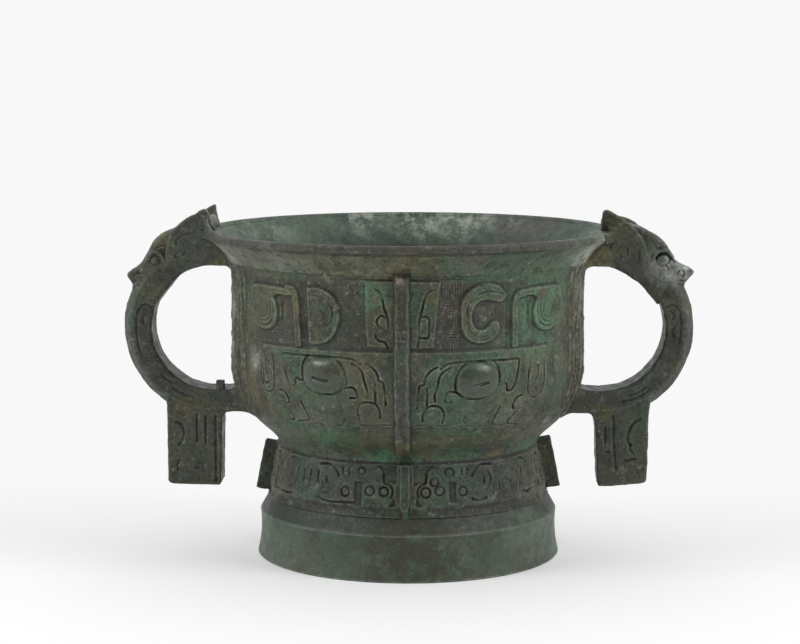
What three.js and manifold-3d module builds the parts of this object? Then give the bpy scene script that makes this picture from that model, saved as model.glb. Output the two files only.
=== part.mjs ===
// Cast bronze gui: a flared bowl on a two-step foot, with two animal-head handles and hanging pendants.
// Millimetres, +Z up. The origin is the centre of the base, the front faces -Y, the handles lie along X.
import * as THREE from 'three';
import { mergeVertices } from 'three/addons/utils/BufferGeometryUtils.js';
import Module from 'manifold-3d';

const wasm = await Module();
wasm.setup();

// Fits
const seatGap = 0.3; // hairline between neighbouring members
const turnSteps = 64; // facets round the vessel
const curveSteps = 6; // facets along each curved stretch of a profile
const hollowSteps = 4; // facets up the hollow wall of the plinth
const arcSteps = 24; // facets round the half circle of a handle
const eyeSteps = 12; // facets round an eye

// Plinth ring
const baseRadius = 78.2;
const plinthHeight = 23.4;
const plinthWall = 4.6;
const plinthWaistInset = 2.1; // hollow of the wall between base and ledge
const ledgeRadius = 76.7;
const ledgeInset = 4.6; // slope of the ledge, in plan
const ledgeRise = 7.6;
const baseChamfer = 0.7;

// Foot ring
const friezeHeight = 27;
const friezeBottomRadius = 71.8;
const friezeTopRadius = 67.3;
const friezeProud = 0.7; // the cast band over the plain ring
const friezeBorder = 4.6; // plain ring under the band
const friezeMargin = 0.8; // plain ring over the band
const footWall = 4.2;

// Bowl
const waistRadius = 66;
const waistRise = 1.8;
const undersideRun = 12.6; // length of the straight underside beyond the waist, in plan
const undersideRise = 10;
const bellyRadius = 90.5;
const bellyRise = 40; // from the waist to the upright wall
const bellyFullness = 21.5; // height of the belly curve's lower control under the upright wall
const wallHeight = 42;
const neckRadius = 90.2;
const neckRise = 21.4;
const neckUpright = 11; // how far the neck stays upright before it flares
const flareReach = 6.4; // slope of the flare where it meets the lip
const flareRise = 4.4;
const rimRadius = 105;
const lipHeight = 4.1;
const lipBead = 1.6; // overhang of the lip beyond the neck
const lipRound = 0.8;
const lipThickness = 4.6;
const bowlWall = 4;
const floorThickness = 4.5;
const floorRecess = 3; // underside of the floor above the foot's seat

// Relief of the bowl: one mask on each side of a body flange
const maskSpan = 92; // along the wall, from the middle of the flange to the plain strip
const maskMargin = 4.6; // bare wall beside the middle of the flange
const registerRise = 15.9; // foot of the upper register over the foot of the wall
const registerHeight = 32;
const faceSpan = 80; // the face under the register, along the wall
const faceDrop = 41;
const faceProud = 0.9;
const pupilOut = 38; // middle of the mask's eye, along the wall
const pupilDrop = 14.2; // below the register
const maskEyeWidth = 21.6;
const maskEyeHeight = 16.4;
const maskEyeProud = 2.4;
const plaqueProud = 0.9;
const scrollProud = 1.3; // horn and hook of the upper register

// Outlines in the upper register, in shares of the mask's span and of the register's height
const plaqueForm = [[0.05, 0.04], [0.155, 0.04], [0.175, 0.45], [0.19, 1], [0.05, 1]];
const hornForm = [
  [0.59, 0.94], [0.46, 0.93], [0.38, 0.84], [0.333, 0.67], [0.325, 0.49], [0.34, 0.24], [0.364, 0.12],
  [0.459, 0.09], [0.476, 0.22], [0.408, 0.33], [0.376, 0.48], [0.4, 0.63], [0.49, 0.66], [0.573, 0.76],
];
const hookForm = [
  [0.6, 0.02], [0.598, 0.74], [0.625, 0.88], [0.717, 0.92], [0.963, 0.91], [0.963, 0.49], [0.913, 0.27],
  [0.837, 0.21], [0.77, 0.27], [0.739, 0.49], [0.761, 0.68], [0.696, 0.78], [0.637, 0.72], [0.634, 0.02],
];

// Flanges
const bodyFlangeWidth = 8;
const bodyFlangeProud = 3.6;
const bodyFlangeTopDrop = 16.5; // below the rim
const footFlangeWidth = 6;
const footFlangeTopProud = 6.6;
const footFlangeBottomProud = 7.7;
const footFlangeTopDrop = 1.2; // below the top of the foot ring

// Handle loop, a strap of which the middle line is an arc
const loopInnerRadius = 32.3;
const loopOuterRadius = 47.1;
const loopOffset = 9; // arc centre beyond the belly
const loopTopDrop = 3.6; // top of the strap below the rim
const loopWidth = 22;
const loopBevel = 2.2;
const armSink = 14; // how far an arm is carried into the belly before it is trimmed
const armRise = 3.4; // underside of the lower arm over the lowest line of the strap
const armSlope = 5; // run of that rise, inside the pendant
const coreThickness = 7;
const coreWidth = 12;
const tenonReach = 14; // tenon ends beyond the belly

// Animal head, in a frame at the loop's arc centre
const mouthAngle = 24; // degrees above the horizontal through the arc centre
const headWidth = 24;
const headCheek = 35; // the cheeks cover the strap outside this radius
const chinReach = 40;
const chinHeight = 21.1;
const muzzleWidth = 15;
const muzzleReach = 45.9;
const muzzleHeight = 27.9;
const muzzleTip = 2.4; // rounding of the nose
const noseReach = 38.7;
const noseHeight = 31.7;
const browReach = 32.7;
const browHeight = 40.6;
const foreheadReach = 26;
const foreheadHeight = 46.6;
const crestReach = 9.6; // level run of the crest, out from the nape
const crestRise = 3.6; // of the crest over the rim
const napeInset = 3.6; // the nape laps over the lip
const eyeReach = 31.8;
const eyeHeight = 33.1;
const eyeRadius = 3.6;
const eyeProud = 1.6;

// Horns
const hornThickness = 4.6;
const hornInset = 4.6; // the inner edge stands on the lip, inside the rim
const hornRise = 10.9; // tip above the rim
const hornTipWidth = 4.4;
const hornRound = 1.6;
const hornFoot = 17; // lower edge below the rim
const hornReach = 23.6; // outer edge beyond the inner one, at the foot
const hornBow = 12; // bulge of the outer edge
const hornStagger = 1.5; // one horn of a pair stands further in
const hornLean = 0.12; // outward lean, in Y for each unit of height
const wornTip = 3.7; // one tip is worn down

// Pendant
const pendantWidth = 26.7;
const pendantInset = 2.5; // inner edge inside the arc centre
const pendantDrop = 35.1; // below the strap
const pendantThickness = 20;
const pendantRound = 2.6;
const pendantSlant = 1.6; // the inner edge draws in downwards
const pendantBevel = 0.9;

// Floor spacers
const spacerSide = 9;
const spacerRadius = 34;
const spacerCount = 4;

// Heights that follow from the sizes above
const ledgeTop = plinthHeight + ledgeRise;
const friezeBottom = ledgeTop + seatGap;
const friezeTop = friezeBottom + friezeHeight;
const bowlSeat = friezeTop + seatGap;
const waistTop = bowlSeat + waistRise;
const wallBottom = waistTop + bellyRise;
const wallTop = wallBottom + wallHeight;
const lipBottom = wallTop + neckRise;
const rimHeight = lipBottom + lipHeight;
const floorBottom = bowlSeat + floorRecess;
const floorTop = floorBottom + floorThickness;
const loopX = bellyRadius + loopOffset;
const loopZ = rimHeight - loopTopDrop - loopOuterRadius;

const bronze = { color: 0x3d4a3f, roughness: 0.55, metalness: 0.6 };
const greenBronze = { color: 0x3a5446, roughness: 0.6, metalness: 0.5 };
const darkBronze = { color: 0x33382f, roughness: 0.5, metalness: 0.6 };
const firedClay = { color: 0x7c5a42, roughness: 0.95, metalness: 0 };

// Solids: a closed geometry becomes a solid for joins and cuts, and a solid becomes a geometry again

function solid(geometry) {
  const bare = geometry.index ? geometry.toNonIndexed() : geometry.clone();
  bare.deleteAttribute('normal');
  bare.deleteAttribute('uv');
  const merged = mergeVertices(bare, 1e-4);
  const corners = merged.index.array;
  const kept = [];
  for (let i = 0; i < corners.length; i += 3) {
    const [a, b, c] = corners.slice(i, i + 3);
    if (a !== b && b !== c && c !== a) kept.push(a, b, c);
  }
  const body = solidFrom(merged.attributes.position.array, kept);
  if (body.volume() > 0) return body;
  const flipped = [];
  for (let i = 0; i < kept.length; i += 3) flipped.push(kept[i], kept[i + 2], kept[i + 1]);
  return solidFrom(merged.attributes.position.array, flipped);
}

function solidFrom(vertices, triangles) {
  const mesh = new wasm.Mesh({
    numProp: 3,
    vertProperties: new Float32Array(vertices),
    triVerts: new Uint32Array(triangles),
  });
  return new wasm.Manifold(mesh);
}

function geometryOf(body) {
  const mesh = body.getMesh();
  const geometry = new THREE.BufferGeometry();
  geometry.setAttribute('position', new THREE.BufferAttribute(mesh.vertProperties.slice(), 3));
  geometry.setIndex(new THREE.BufferAttribute(mesh.triVerts.slice(), 1));
  geometry.computeVertexNormals();
  return geometry;
}

function piece(name, body, finish) {
  const mesh = new THREE.Mesh(geometryOf(body), new THREE.MeshStandardMaterial(finish));
  mesh.name = name;
  return mesh;
}

// Profiles are lists of Vector2 holding radius and height

function point(radius, height) {
  return new THREE.Vector2(radius, height);
}

function turned(profile) {
  const closed = profile[0].x > 0 ? [...profile, profile[0].clone()] : profile;
  const geometry = new THREE.LatheGeometry(closed, turnSteps);
  geometry.rotateX(Math.PI / 2);
  return solid(geometry);
}

// Moves a rising profile sideways: a positive distance goes outwards
function offset(profile, distance) {
  return profile.map((at, i) => {
    const before = profile[Math.max(i - 1, 0)];
    const after = profile[Math.min(i + 1, profile.length - 1)];
    const along = after.clone().sub(before).normalize();
    return point(at.x + along.y * distance, at.y - along.x * distance);
  });
}

// The radius of a rising profile at a height
function radiusAt(profile, height) {
  const i = profile.findIndex((at) => at.y >= height);
  if (i <= 0) return profile[i < 0 ? profile.length - 1 : 0].x;
  const low = profile[i - 1];
  const share = (height - low.y) / (profile[i].y - low.y);
  return low.x + (profile[i].x - low.x) * share;
}

// The stretch of a rising profile between two heights
function stretch(profile, low, high) {
  const within = profile.filter((at) => at.y > low && at.y < high);
  return [point(radiusAt(profile, low), low), ...within, point(radiusAt(profile, high), high)];
}

// A flat outline in radius and height, given its width along Y about the middle plane
function plate(shape, width, bevel = 0, steps = curveSteps) {
  const geometry = new THREE.ExtrudeGeometry(shape, {
    depth: width - 2 * bevel,
    bevelEnabled: bevel > 0,
    bevelThickness: bevel,
    bevelSize: bevel,
    bevelOffset: -bevel,
    bevelSegments: 2,
    curveSegments: steps,
  });
  geometry.rotateX(Math.PI / 2);
  geometry.translate(0, width / 2 - bevel, 0);
  return solid(geometry);
}

function block(sizeX, sizeY, sizeZ, x, y, z) {
  const geometry = new THREE.BoxGeometry(sizeX, sizeY, sizeZ);
  geometry.translate(x, y, z);
  return solid(geometry);
}

// Bowl

function bowlOutline() {
  const path = new THREE.Path();
  path.moveTo(waistRadius, waistTop);
  path.bezierCurveTo(
    waistRadius + undersideRun, waistTop + undersideRise,
    bellyRadius, wallBottom - bellyFullness,
    bellyRadius, wallBottom,
  );
  path.lineTo(neckRadius, wallTop);
  const lipRoot = rimRadius - lipBead;
  path.bezierCurveTo(
    neckRadius, wallTop + neckUpright,
    lipRoot - flareReach, lipBottom - flareRise,
    lipRoot, lipBottom,
  );
  return path.getPoints(curveSteps);
}

const outline = bowlOutline();
const lipEdge = [
  point(rimRadius, lipBottom + lipRound),
  point(rimRadius, rimHeight - lipRound),
  point(rimRadius - lipRound, rimHeight),
];

// The bowl's outside grown by the hairline: it trims whatever stands against the bowl
function bowlEnvelope() {
  const side = offset([...outline, ...lipEdge], seatGap);
  const top = rimHeight + seatGap;
  const seat = bowlSeat - seatGap;
  return turned([point(0, seat), point(side[0].x, seat), ...side, point(side.at(-1).x, top), point(0, top)]);
}

function bowlInside() {
  const wall = offset(outline, -bowlWall).filter((at) => at.y > floorTop && at.y < rimHeight - lipRound);
  const mouth = rimRadius - lipThickness;
  const above = rimHeight + lipHeight;
  const floorEdge = point(radiusAt(offset(outline, -bowlWall), floorTop), floorTop);
  return turned([
    point(0, floorTop), floorEdge, ...wall, point(mouth, rimHeight), point(mouth, above), point(0, above),
  ]);
}

const spacerPlaces = Array.from({ length: spacerCount }, (_, i) => {
  const angle = ((i + 0.5) * 2 * Math.PI) / spacerCount;
  return [spacerRadius * Math.cos(angle), spacerRadius * Math.sin(angle)];
});

// Relief forms, drawn on the front and to the right of the flange

function grownBowl(proud) {
  const side = offset(outline, proud);
  return turned([point(0, side[0].y), ...side, point(0, side.at(-1).y)]);
}

function reliefForm(form, proud, hand) {
  const middle = (Math.min(...form.map(([out]) => out)) + Math.max(...form.map(([out]) => out))) / 2;
  const foot = wallBottom + registerRise;
  const shape = new THREE.Shape(form.map(([out, up]) => {
    const angle = ((out - middle) * maskSpan) / bellyRadius;
    return point(hand * bellyRadius * Math.sin(angle), foot + up * registerHeight);
  }));
  const geometry = new THREE.ExtrudeGeometry(shape, { depth: rimRadius, bevelEnabled: false });
  geometry.rotateX(Math.PI / 2);
  geometry.translate(0, bowlWall / 2 - bellyRadius, 0);
  geometry.rotateZ((hand * middle * maskSpan) / bellyRadius);
  return solid(geometry).intersect(grownBowl(proud));
}

function reliefFace(hand) {
  const start = Math.asin(maskMargin / bellyRadius);
  const end = faceSpan / bellyRadius;
  const shape = new THREE.Shape([point(0, 0), ...[start, (start + end) / 2, end].map((angle) => point(
    hand * 2 * rimRadius * Math.sin(angle), -2 * rimRadius * Math.cos(angle),
  ))]);
  const geometry = new THREE.ExtrudeGeometry(shape, { depth: faceDrop, bevelEnabled: false });
  geometry.translate(0, 0, wallBottom + registerRise - faceDrop);
  return solid(geometry).intersect(grownBowl(faceProud));
}

function reliefEye(hand) {
  const eye = new THREE.SphereGeometry(1, eyeSteps, eyeSteps);
  eye.scale(maskEyeWidth / 2, maskEyeProud, maskEyeHeight / 2);
  eye.translate(0, -bellyRadius, wallBottom + registerRise - pupilDrop);
  eye.rotateZ((hand * pupilOut) / bellyRadius);
  return solid(eye);
}

function makeRelief() {
  const forms = [1, -1].flatMap((hand) => [
    reliefFace(hand), reliefEye(hand), reliefForm(plaqueForm, plaqueProud, hand),
    reliefForm(hornForm, scrollProud, hand), reliefForm(hookForm, scrollProud, hand),
  ]);
  const front = wasm.Manifold.union(forms);
  return front.add(front.rotate([0, 0, 180]));
}

function makeBowl() {
  const seatEdge = friezeTopRadius - footWall;
  let body = turned([
    point(0, floorBottom), point(seatEdge - floorRecess, floorBottom), point(seatEdge, bowlSeat),
    point(waistRadius, bowlSeat), ...outline, ...lipEdge, point(0, rimHeight),
  ]);
  const ends = strapRun(coreThickness - 2 * seatGap, coreWidth - 2 * seatGap).intersect(tenonZone(0));
  body = body.add(ends).add(ends.rotate([0, 0, 180])).add(makeRelief()).subtract(bowlInside());
  const slot = spacerSide + 2 * seatGap;
  for (const [x, y] of spacerPlaces) {
    body = body.subtract(block(slot, slot, rimHeight, x, y, rimHeight / 2));
  }
  return body;
}

function makeSpacer(x, y) {
  return block(spacerSide, spacerSide, floorThickness, x, y, floorBottom + floorThickness / 2);
}

// Foot

function makePlinth() {
  const midHeight = plinthHeight / 2;
  const waistPull = (baseRadius + ledgeRadius) / 2 - plinthWaistInset;
  const wallPath = new THREE.Path();
  wallPath.moveTo(baseRadius, baseChamfer);
  wallPath.quadraticCurveTo(waistPull, midHeight, ledgeRadius, plinthHeight);
  const outside = [...wallPath.getPoints(hollowSteps), point(ledgeRadius - ledgeInset, ledgeTop)];
  const inside = offset(outside, -plinthWall).filter((at) => at.y > 0 && at.y < ledgeTop);
  return turned([
    point(baseRadius - baseChamfer, 0), ...outside,
    point(ledgeRadius - ledgeInset - plinthWall, ledgeTop), ...inside.reverse(),
    point(baseRadius - plinthWall, 0),
  ]);
}

const frieze = [point(friezeBottomRadius, friezeBottom), point(friezeTopRadius, friezeTop)];

function makeFootRing() {
  const [bottom, top] = frieze;
  const band = stretch(frieze, friezeBottom + friezeBorder, friezeTop - friezeMargin);
  return turned([
    bottom, band[0], ...offset(band, friezeProud), band[1], top,
    point(top.x - footWall, top.y), point(bottom.x - footWall, bottom.y),
  ]);
}

// Flanges, drawn on the +X side

function makeBodyFlange() {
  const run = stretch(outline, waistTop, rimHeight - bodyFlangeTopDrop);
  const root = offset(run, seatGap);
  const crest = offset(run, bodyFlangeProud);
  const flange = plate(new THREE.Shape([...root, ...crest.reverse()]), bodyFlangeWidth);
  const below = block(4 * rimRadius, 4 * rimRadius, bowlSeat, 0, 0, bowlSeat / 2);
  return flange.subtract(below);
}

function makeFootFlange() {
  const [bottom, top] = stretch(frieze, friezeBottom, friezeTop - footFlangeTopDrop);
  const root = friezeProud + seatGap;
  return plate(new THREE.Shape([
    point(bottom.x + root, bottom.y), point(bottom.x + footFlangeBottomProud, bottom.y),
    point(top.x + footFlangeTopProud, top.y), point(top.x + root, top.y),
  ]), footFlangeWidth);
}

// Handles, drawn on the +X side

const armEnd = bellyRadius - armSink;

// The outer edge of the strap's run: an arc between two level arms, the lower one slimmer beyond the pendant
function strapOutline(outer) {
  const shape = new THREE.Shape();
  const slim = loopX - pendantInset - armSlope;
  shape.moveTo(armEnd, loopZ - outer + armRise);
  shape.lineTo(slim, loopZ - outer + armRise);
  shape.lineTo(slim + armSlope, loopZ - outer);
  shape.lineTo(loopX, loopZ - outer);
  shape.absarc(loopX, loopZ, outer, -Math.PI / 2, Math.PI / 2, false);
  shape.lineTo(armEnd, loopZ + outer);
  return shape;
}

function strapShape(inner, outer) {
  const shape = strapOutline(outer);
  shape.lineTo(armEnd, loopZ + inner);
  shape.lineTo(loopX, loopZ + inner);
  shape.absarc(loopX, loopZ, inner, Math.PI / 2, -Math.PI / 2, true);
  shape.lineTo(armEnd, loopZ - inner);
  return shape;
}

function strapRun(thickness, width) {
  const middle = (loopInnerRadius + loopOuterRadius) / 2;
  return plate(strapShape(middle - thickness / 2, middle + thickness / 2), width, 0, arcSteps);
}

// Everything nearer the bowl than the tenon ends
function tenonZone(shift) {
  const reach = bellyRadius + tenonReach + shift;
  return block(reach, rimRadius, 2 * rimHeight, reach / 2, 0, loopZ);
}

// Everything on the head's side of the mouth, a cut straight out from the arc centre
function headZone(shift) {
  const angle = THREE.MathUtils.degToRad(mouthAngle);
  const along = point(Math.cos(angle), Math.sin(angle)).multiplyScalar(2 * rimRadius);
  const upward = point(-along.y, along.x);
  const start = point(loopX, loopZ).addScaledVector(upward, shift / upward.length());
  return plate(new THREE.Shape([
    start.clone().sub(along), start.clone().add(along),
    start.clone().add(along).add(upward), start.clone().sub(along).add(upward),
  ]), 2 * rimRadius);
}

function makeStrap() {
  const strap = plate(strapShape(loopInnerRadius, loopOuterRadius), loopWidth, loopBevel, arcSteps);
  return strap.subtract(strapRun(coreThickness, coreWidth));
}

function makeLoop() {
  return makeStrap().subtract(headZone(-seatGap)).subtract(envelope);
}

function makeCore() {
  const core = strapRun(coreThickness - 2 * seatGap, coreWidth - 2 * seatGap);
  return core.subtract(tenonZone(seatGap)).subtract(envelope);
}

// The head seen from above: parallel cheeks that draw in to the muzzle
function headPlan() {
  const cheek = headWidth / 2;
  const nose = muzzleWidth / 2;
  const shape = new THREE.Shape();
  shape.moveTo(0, -cheek);
  shape.lineTo(loopX + eyeReach, -cheek);
  shape.lineTo(loopX + noseReach, -nose);
  shape.lineTo(loopX + muzzleReach - muzzleTip, -nose);
  shape.quadraticCurveTo(loopX + muzzleReach + muzzleTip, 0, loopX + muzzleReach - muzzleTip, nose);
  shape.lineTo(loopX + noseReach, nose);
  shape.lineTo(loopX + eyeReach, cheek);
  shape.lineTo(0, cheek);
  return solid(new THREE.ExtrudeGeometry(shape, { depth: 2 * rimHeight, bevelEnabled: false }));
}

function makeHead() {
  const nape = rimRadius - napeInset;
  const crest = rimHeight + crestRise;
  const shape = new THREE.Shape();
  const napeAngle = Math.acos((nape - loopX) / headCheek);
  shape.absarc(loopX, loopZ, headCheek, napeAngle, 0, true);
  shape.lineTo(loopX + chinReach, loopZ + chinHeight);
  shape.lineTo(loopX + muzzleReach - muzzleTip, loopZ + muzzleHeight - muzzleTip);
  shape.quadraticCurveTo(
    loopX + muzzleReach + muzzleTip, loopZ + muzzleHeight,
    loopX + muzzleReach - muzzleTip, loopZ + muzzleHeight + muzzleTip,
  );
  shape.lineTo(loopX + noseReach, loopZ + noseHeight);
  shape.quadraticCurveTo(
    loopX + browReach, loopZ + noseHeight + muzzleTip,
    loopX + browReach, loopZ + browHeight,
  );
  shape.quadraticCurveTo(
    loopX + browReach, loopZ + foreheadHeight - muzzleTip,
    loopX + foreheadReach, loopZ + foreheadHeight,
  );
  shape.lineTo(nape + crestReach, crest);
  shape.lineTo(nape, crest);
  const channel = strapRun(coreThickness, coreWidth);
  let head = plate(shape, headWidth, 0, arcSteps / 2).intersect(headPlan());
  head = head.subtract(channel).add(makeStrap());
  for (const side of [-1, 1]) {
    const eye = new THREE.SphereGeometry(eyeRadius, eyeSteps, eyeSteps / 2);
    eye.translate(loopX + eyeReach, side * (headWidth / 2 + eyeProud - eyeRadius), loopZ + eyeHeight);
    head = head.add(solid(eye));
  }
  return head.intersect(headZone(0)).subtract(envelope);
}

function makeHorn(side, shortened) {
  const inner = rimRadius - hornInset;
  const tip = rimHeight + hornRise - shortened;
  const foot = rimHeight - hornFoot;
  const outer = inner + hornReach;
  const shape = new THREE.Shape();
  shape.moveTo(inner - armSink, foot);
  shape.lineTo(outer, foot);
  shape.bezierCurveTo(
    outer, foot + hornBow,
    outer - hornBow / 2, tip - hornBow / 2,
    inner + hornTipWidth, tip,
  );
  shape.lineTo(inner + hornRound, tip);
  shape.quadraticCurveTo(inner, tip, inner, tip - hornRound);
  shape.lineTo(inner, rimHeight);
  shape.lineTo(inner - armSink, rimHeight);
  const geometry = new THREE.ExtrudeGeometry(shape, {
    depth: hornThickness, bevelEnabled: false, curveSegments: curveSteps,
  });
  geometry.rotateX(Math.PI / 2);
  geometry.translate(side * hornStagger, hornThickness, 0);
  const places = geometry.attributes.position;
  for (let i = 0; i < places.count; i += 1) {
    const lean = hornLean * (places.getZ(i) - foot);
    const standOff = Math.max(headWidth, loopWidth) / 2 + seatGap;
    places.setY(i, side * (places.getY(i) + lean + standOff));
  }
  return solid(geometry).subtract(envelope);
}

function makePendant() {
  const inner = loopX - pendantInset;
  const outer = inner + pendantWidth;
  const bottom = loopZ - loopOuterRadius - pendantDrop;
  const shape = new THREE.Shape();
  shape.moveTo(inner, loopZ);
  shape.lineTo(inner + pendantSlant, bottom + pendantRound);
  shape.quadraticCurveTo(inner + pendantSlant, bottom, inner + pendantSlant + pendantRound, bottom);
  shape.lineTo(outer - pendantRound, bottom);
  shape.quadraticCurveTo(outer, bottom, outer, bottom + pendantRound);
  shape.lineTo(outer, loopZ);
  const strap = plate(strapOutline(loopOuterRadius + seatGap), 2 * loopWidth, 0, arcSteps);
  return plate(shape, pendantThickness, pendantBevel).subtract(strap);
}

// Assembly

const envelope = bowlEnvelope();
const gui = new THREE.Group();
gui.add(piece('bowl', makeBowl(), greenBronze));
gui.add(piece('foot_ring', makeFootRing(), bronze));
gui.add(piece('plinth_ring', makePlinth(), greenBronze));

spacerPlaces.forEach(([x, y], i) => {
  gui.add(piece(`floor_spacer_${i + 1}`, makeSpacer(x, y), darkBronze));
});

const quarterTurns = { right: 0, back: 1, left: 2, front: 3 };
for (const [side, turns] of Object.entries(quarterTurns)) {
  const around = new THREE.Group();
  around.rotation.z = (turns * Math.PI) / 2;
  around.add(piece(`${side}_foot_flange`, makeFootFlange(), bronze));
  if (side === 'front' || side === 'back') {
    around.add(piece(`${side}_body_flange`, makeBodyFlange(), bronze));
  }
  gui.add(around);
}

const handles = [
  { name: 'right', turn: 0, horns: { front: -1, back: 1 }, worn: 'back' },
  { name: 'left', turn: Math.PI, horns: { front: 1, back: -1 }, worn: '' },
];
for (const { name, turn, horns, worn } of handles) {
  const handle = new THREE.Group();
  handle.rotation.z = turn;
  handle.add(piece(`${name}_handle_loop`, makeLoop(), bronze));
  handle.add(piece(`${name}_handle_core`, makeCore(), firedClay));
  handle.add(piece(`${name}_animal_head`, makeHead(), bronze));
  for (const [place, side] of Object.entries(horns)) {
    handle.add(piece(`${name}_${place}_horn`, makeHorn(side, worn === place ? wornTip : 0), darkBronze));
  }
  handle.add(piece(`${name}_pendant`, makePendant(), bronze));
  gui.add(handle);
}

export default gui;
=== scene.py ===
import math

import bpy
import numpy as np
import openvdb
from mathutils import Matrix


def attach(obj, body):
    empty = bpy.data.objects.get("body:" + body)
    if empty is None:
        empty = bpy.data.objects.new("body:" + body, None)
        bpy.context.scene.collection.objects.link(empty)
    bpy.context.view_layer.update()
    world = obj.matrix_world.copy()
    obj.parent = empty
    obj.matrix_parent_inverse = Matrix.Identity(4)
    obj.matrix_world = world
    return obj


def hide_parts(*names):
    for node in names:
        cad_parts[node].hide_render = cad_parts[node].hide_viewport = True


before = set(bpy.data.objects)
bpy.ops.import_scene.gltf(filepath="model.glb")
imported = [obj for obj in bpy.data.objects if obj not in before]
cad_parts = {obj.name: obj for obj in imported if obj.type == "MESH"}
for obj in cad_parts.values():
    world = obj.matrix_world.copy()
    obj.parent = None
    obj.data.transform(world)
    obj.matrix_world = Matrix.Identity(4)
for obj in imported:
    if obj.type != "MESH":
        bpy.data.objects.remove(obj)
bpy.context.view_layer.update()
mm = 0.001
print("frame loaded")


def hexColour(code):
    parts = [int(code[i:i + 2], 16) / 255 for i in (1, 3, 5)]
    return tuple(c / 12.92 if c <= 0.04045 else ((c + 0.055) / 1.055) ** 2.4 for c in parts) + (1.0,)


# Sockets are given in order, or by name or number in a dictionary
def addNode(tree, kind, sockets=(), **settings):
    node = tree.nodes.new(kind)
    for name, value in settings.items():
        setattr(node, name, value)
    for key, value in sockets.items() if isinstance(sockets, dict) else enumerate(sockets):
        if isinstance(value, bpy.types.NodeSocket):
            tree.links.new(value, node.inputs[key])
        else:
            node.inputs[key].default_value = value
    return node


def freshTree(owner):
    owner.use_nodes = True
    owner.node_tree.nodes.clear()
    return owner.node_tree


def addObject(name, data):
    thing = bpy.data.objects.new(name, data)
    bpy.context.scene.collection.objects.link(thing)
    return thing


# Finishes: old cast bronze under layers of corrosion, one recipe with a dictionary for each part; proud
# edges go lighter, partly wear and partly painted highlight, and hollows go dark as painted shade

# Noise of each layer: size in millimetres, seed, span in which it sets in, detail and roughness
noises = {
    "ground": (14.0, 37.0, 0.3, 0.5, 6.0, 0.65), "stain": (6.0, 13.0, 0.52, 0.62, 8.0, 0.7),
    "crust": (4.5, 17.0, 0.57, 0.64, 8.0, 0.72), "speck": (1.7, 41.0, 0.6, 0.68, 3.0, 0.6),
    "pit": (2.2, 43.0, 0.57, 0.66, 4.0, 0.6), "wear": (5.0, 19.0, 0.3, 0.6, 6.0, 0.6),
    "lining": (20.0, 21.0, 0.4, 0.6, 8.0, 0.66), "grain": (1.2, 23.0, 0.28, 0.72, 5.0, 0.72),
    "dent": (3.0, 29.0, 0.3, 0.7, 6.0, 0.65), "gloss": (5.0, 33.0, 0.35, 0.65, 6.0, 0.6),
    "metal": (1.0, 0.34, 0.66, 9.0, 0.68),   # its size is in the look
    "patch": (8.0, 1.0, 0.4, 0.56, 8.0, 0.7),   # here and in the next the seed goes by the radius
    "bloom": (9.0, 2.0, 0.44, 0.6, 8.0, 0.72),
}
films = (("green", 5.0, 0.09, 0.66), ("earth", 9.0, 0.1, 0.7))   # seed, softness and roughness of the edge
spots = (("stain", "stain"), ("crust", "crust"), ("crust", "speck"), ("stain", "pit"))   # colour and noise
# The first two spans: how far an edge stands proud to take the worn colour, partly wear and partly painted
# highlight, and how deep a hollow lies to take the recess colour, painted shade, in millimetres
surface = {
    "wornSpan": (-0.02, -0.2), "filledSpan": (0.02, 0.22), "core": 0.3, "filmDetail": 8.0, "deepShare": 0.6,
    "polishShare": 0.6, "polishFlat": 0.85, "rubbed": 0.28, "grainDepth": 0.45, "bumpDepth": 0.3,
}


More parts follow.
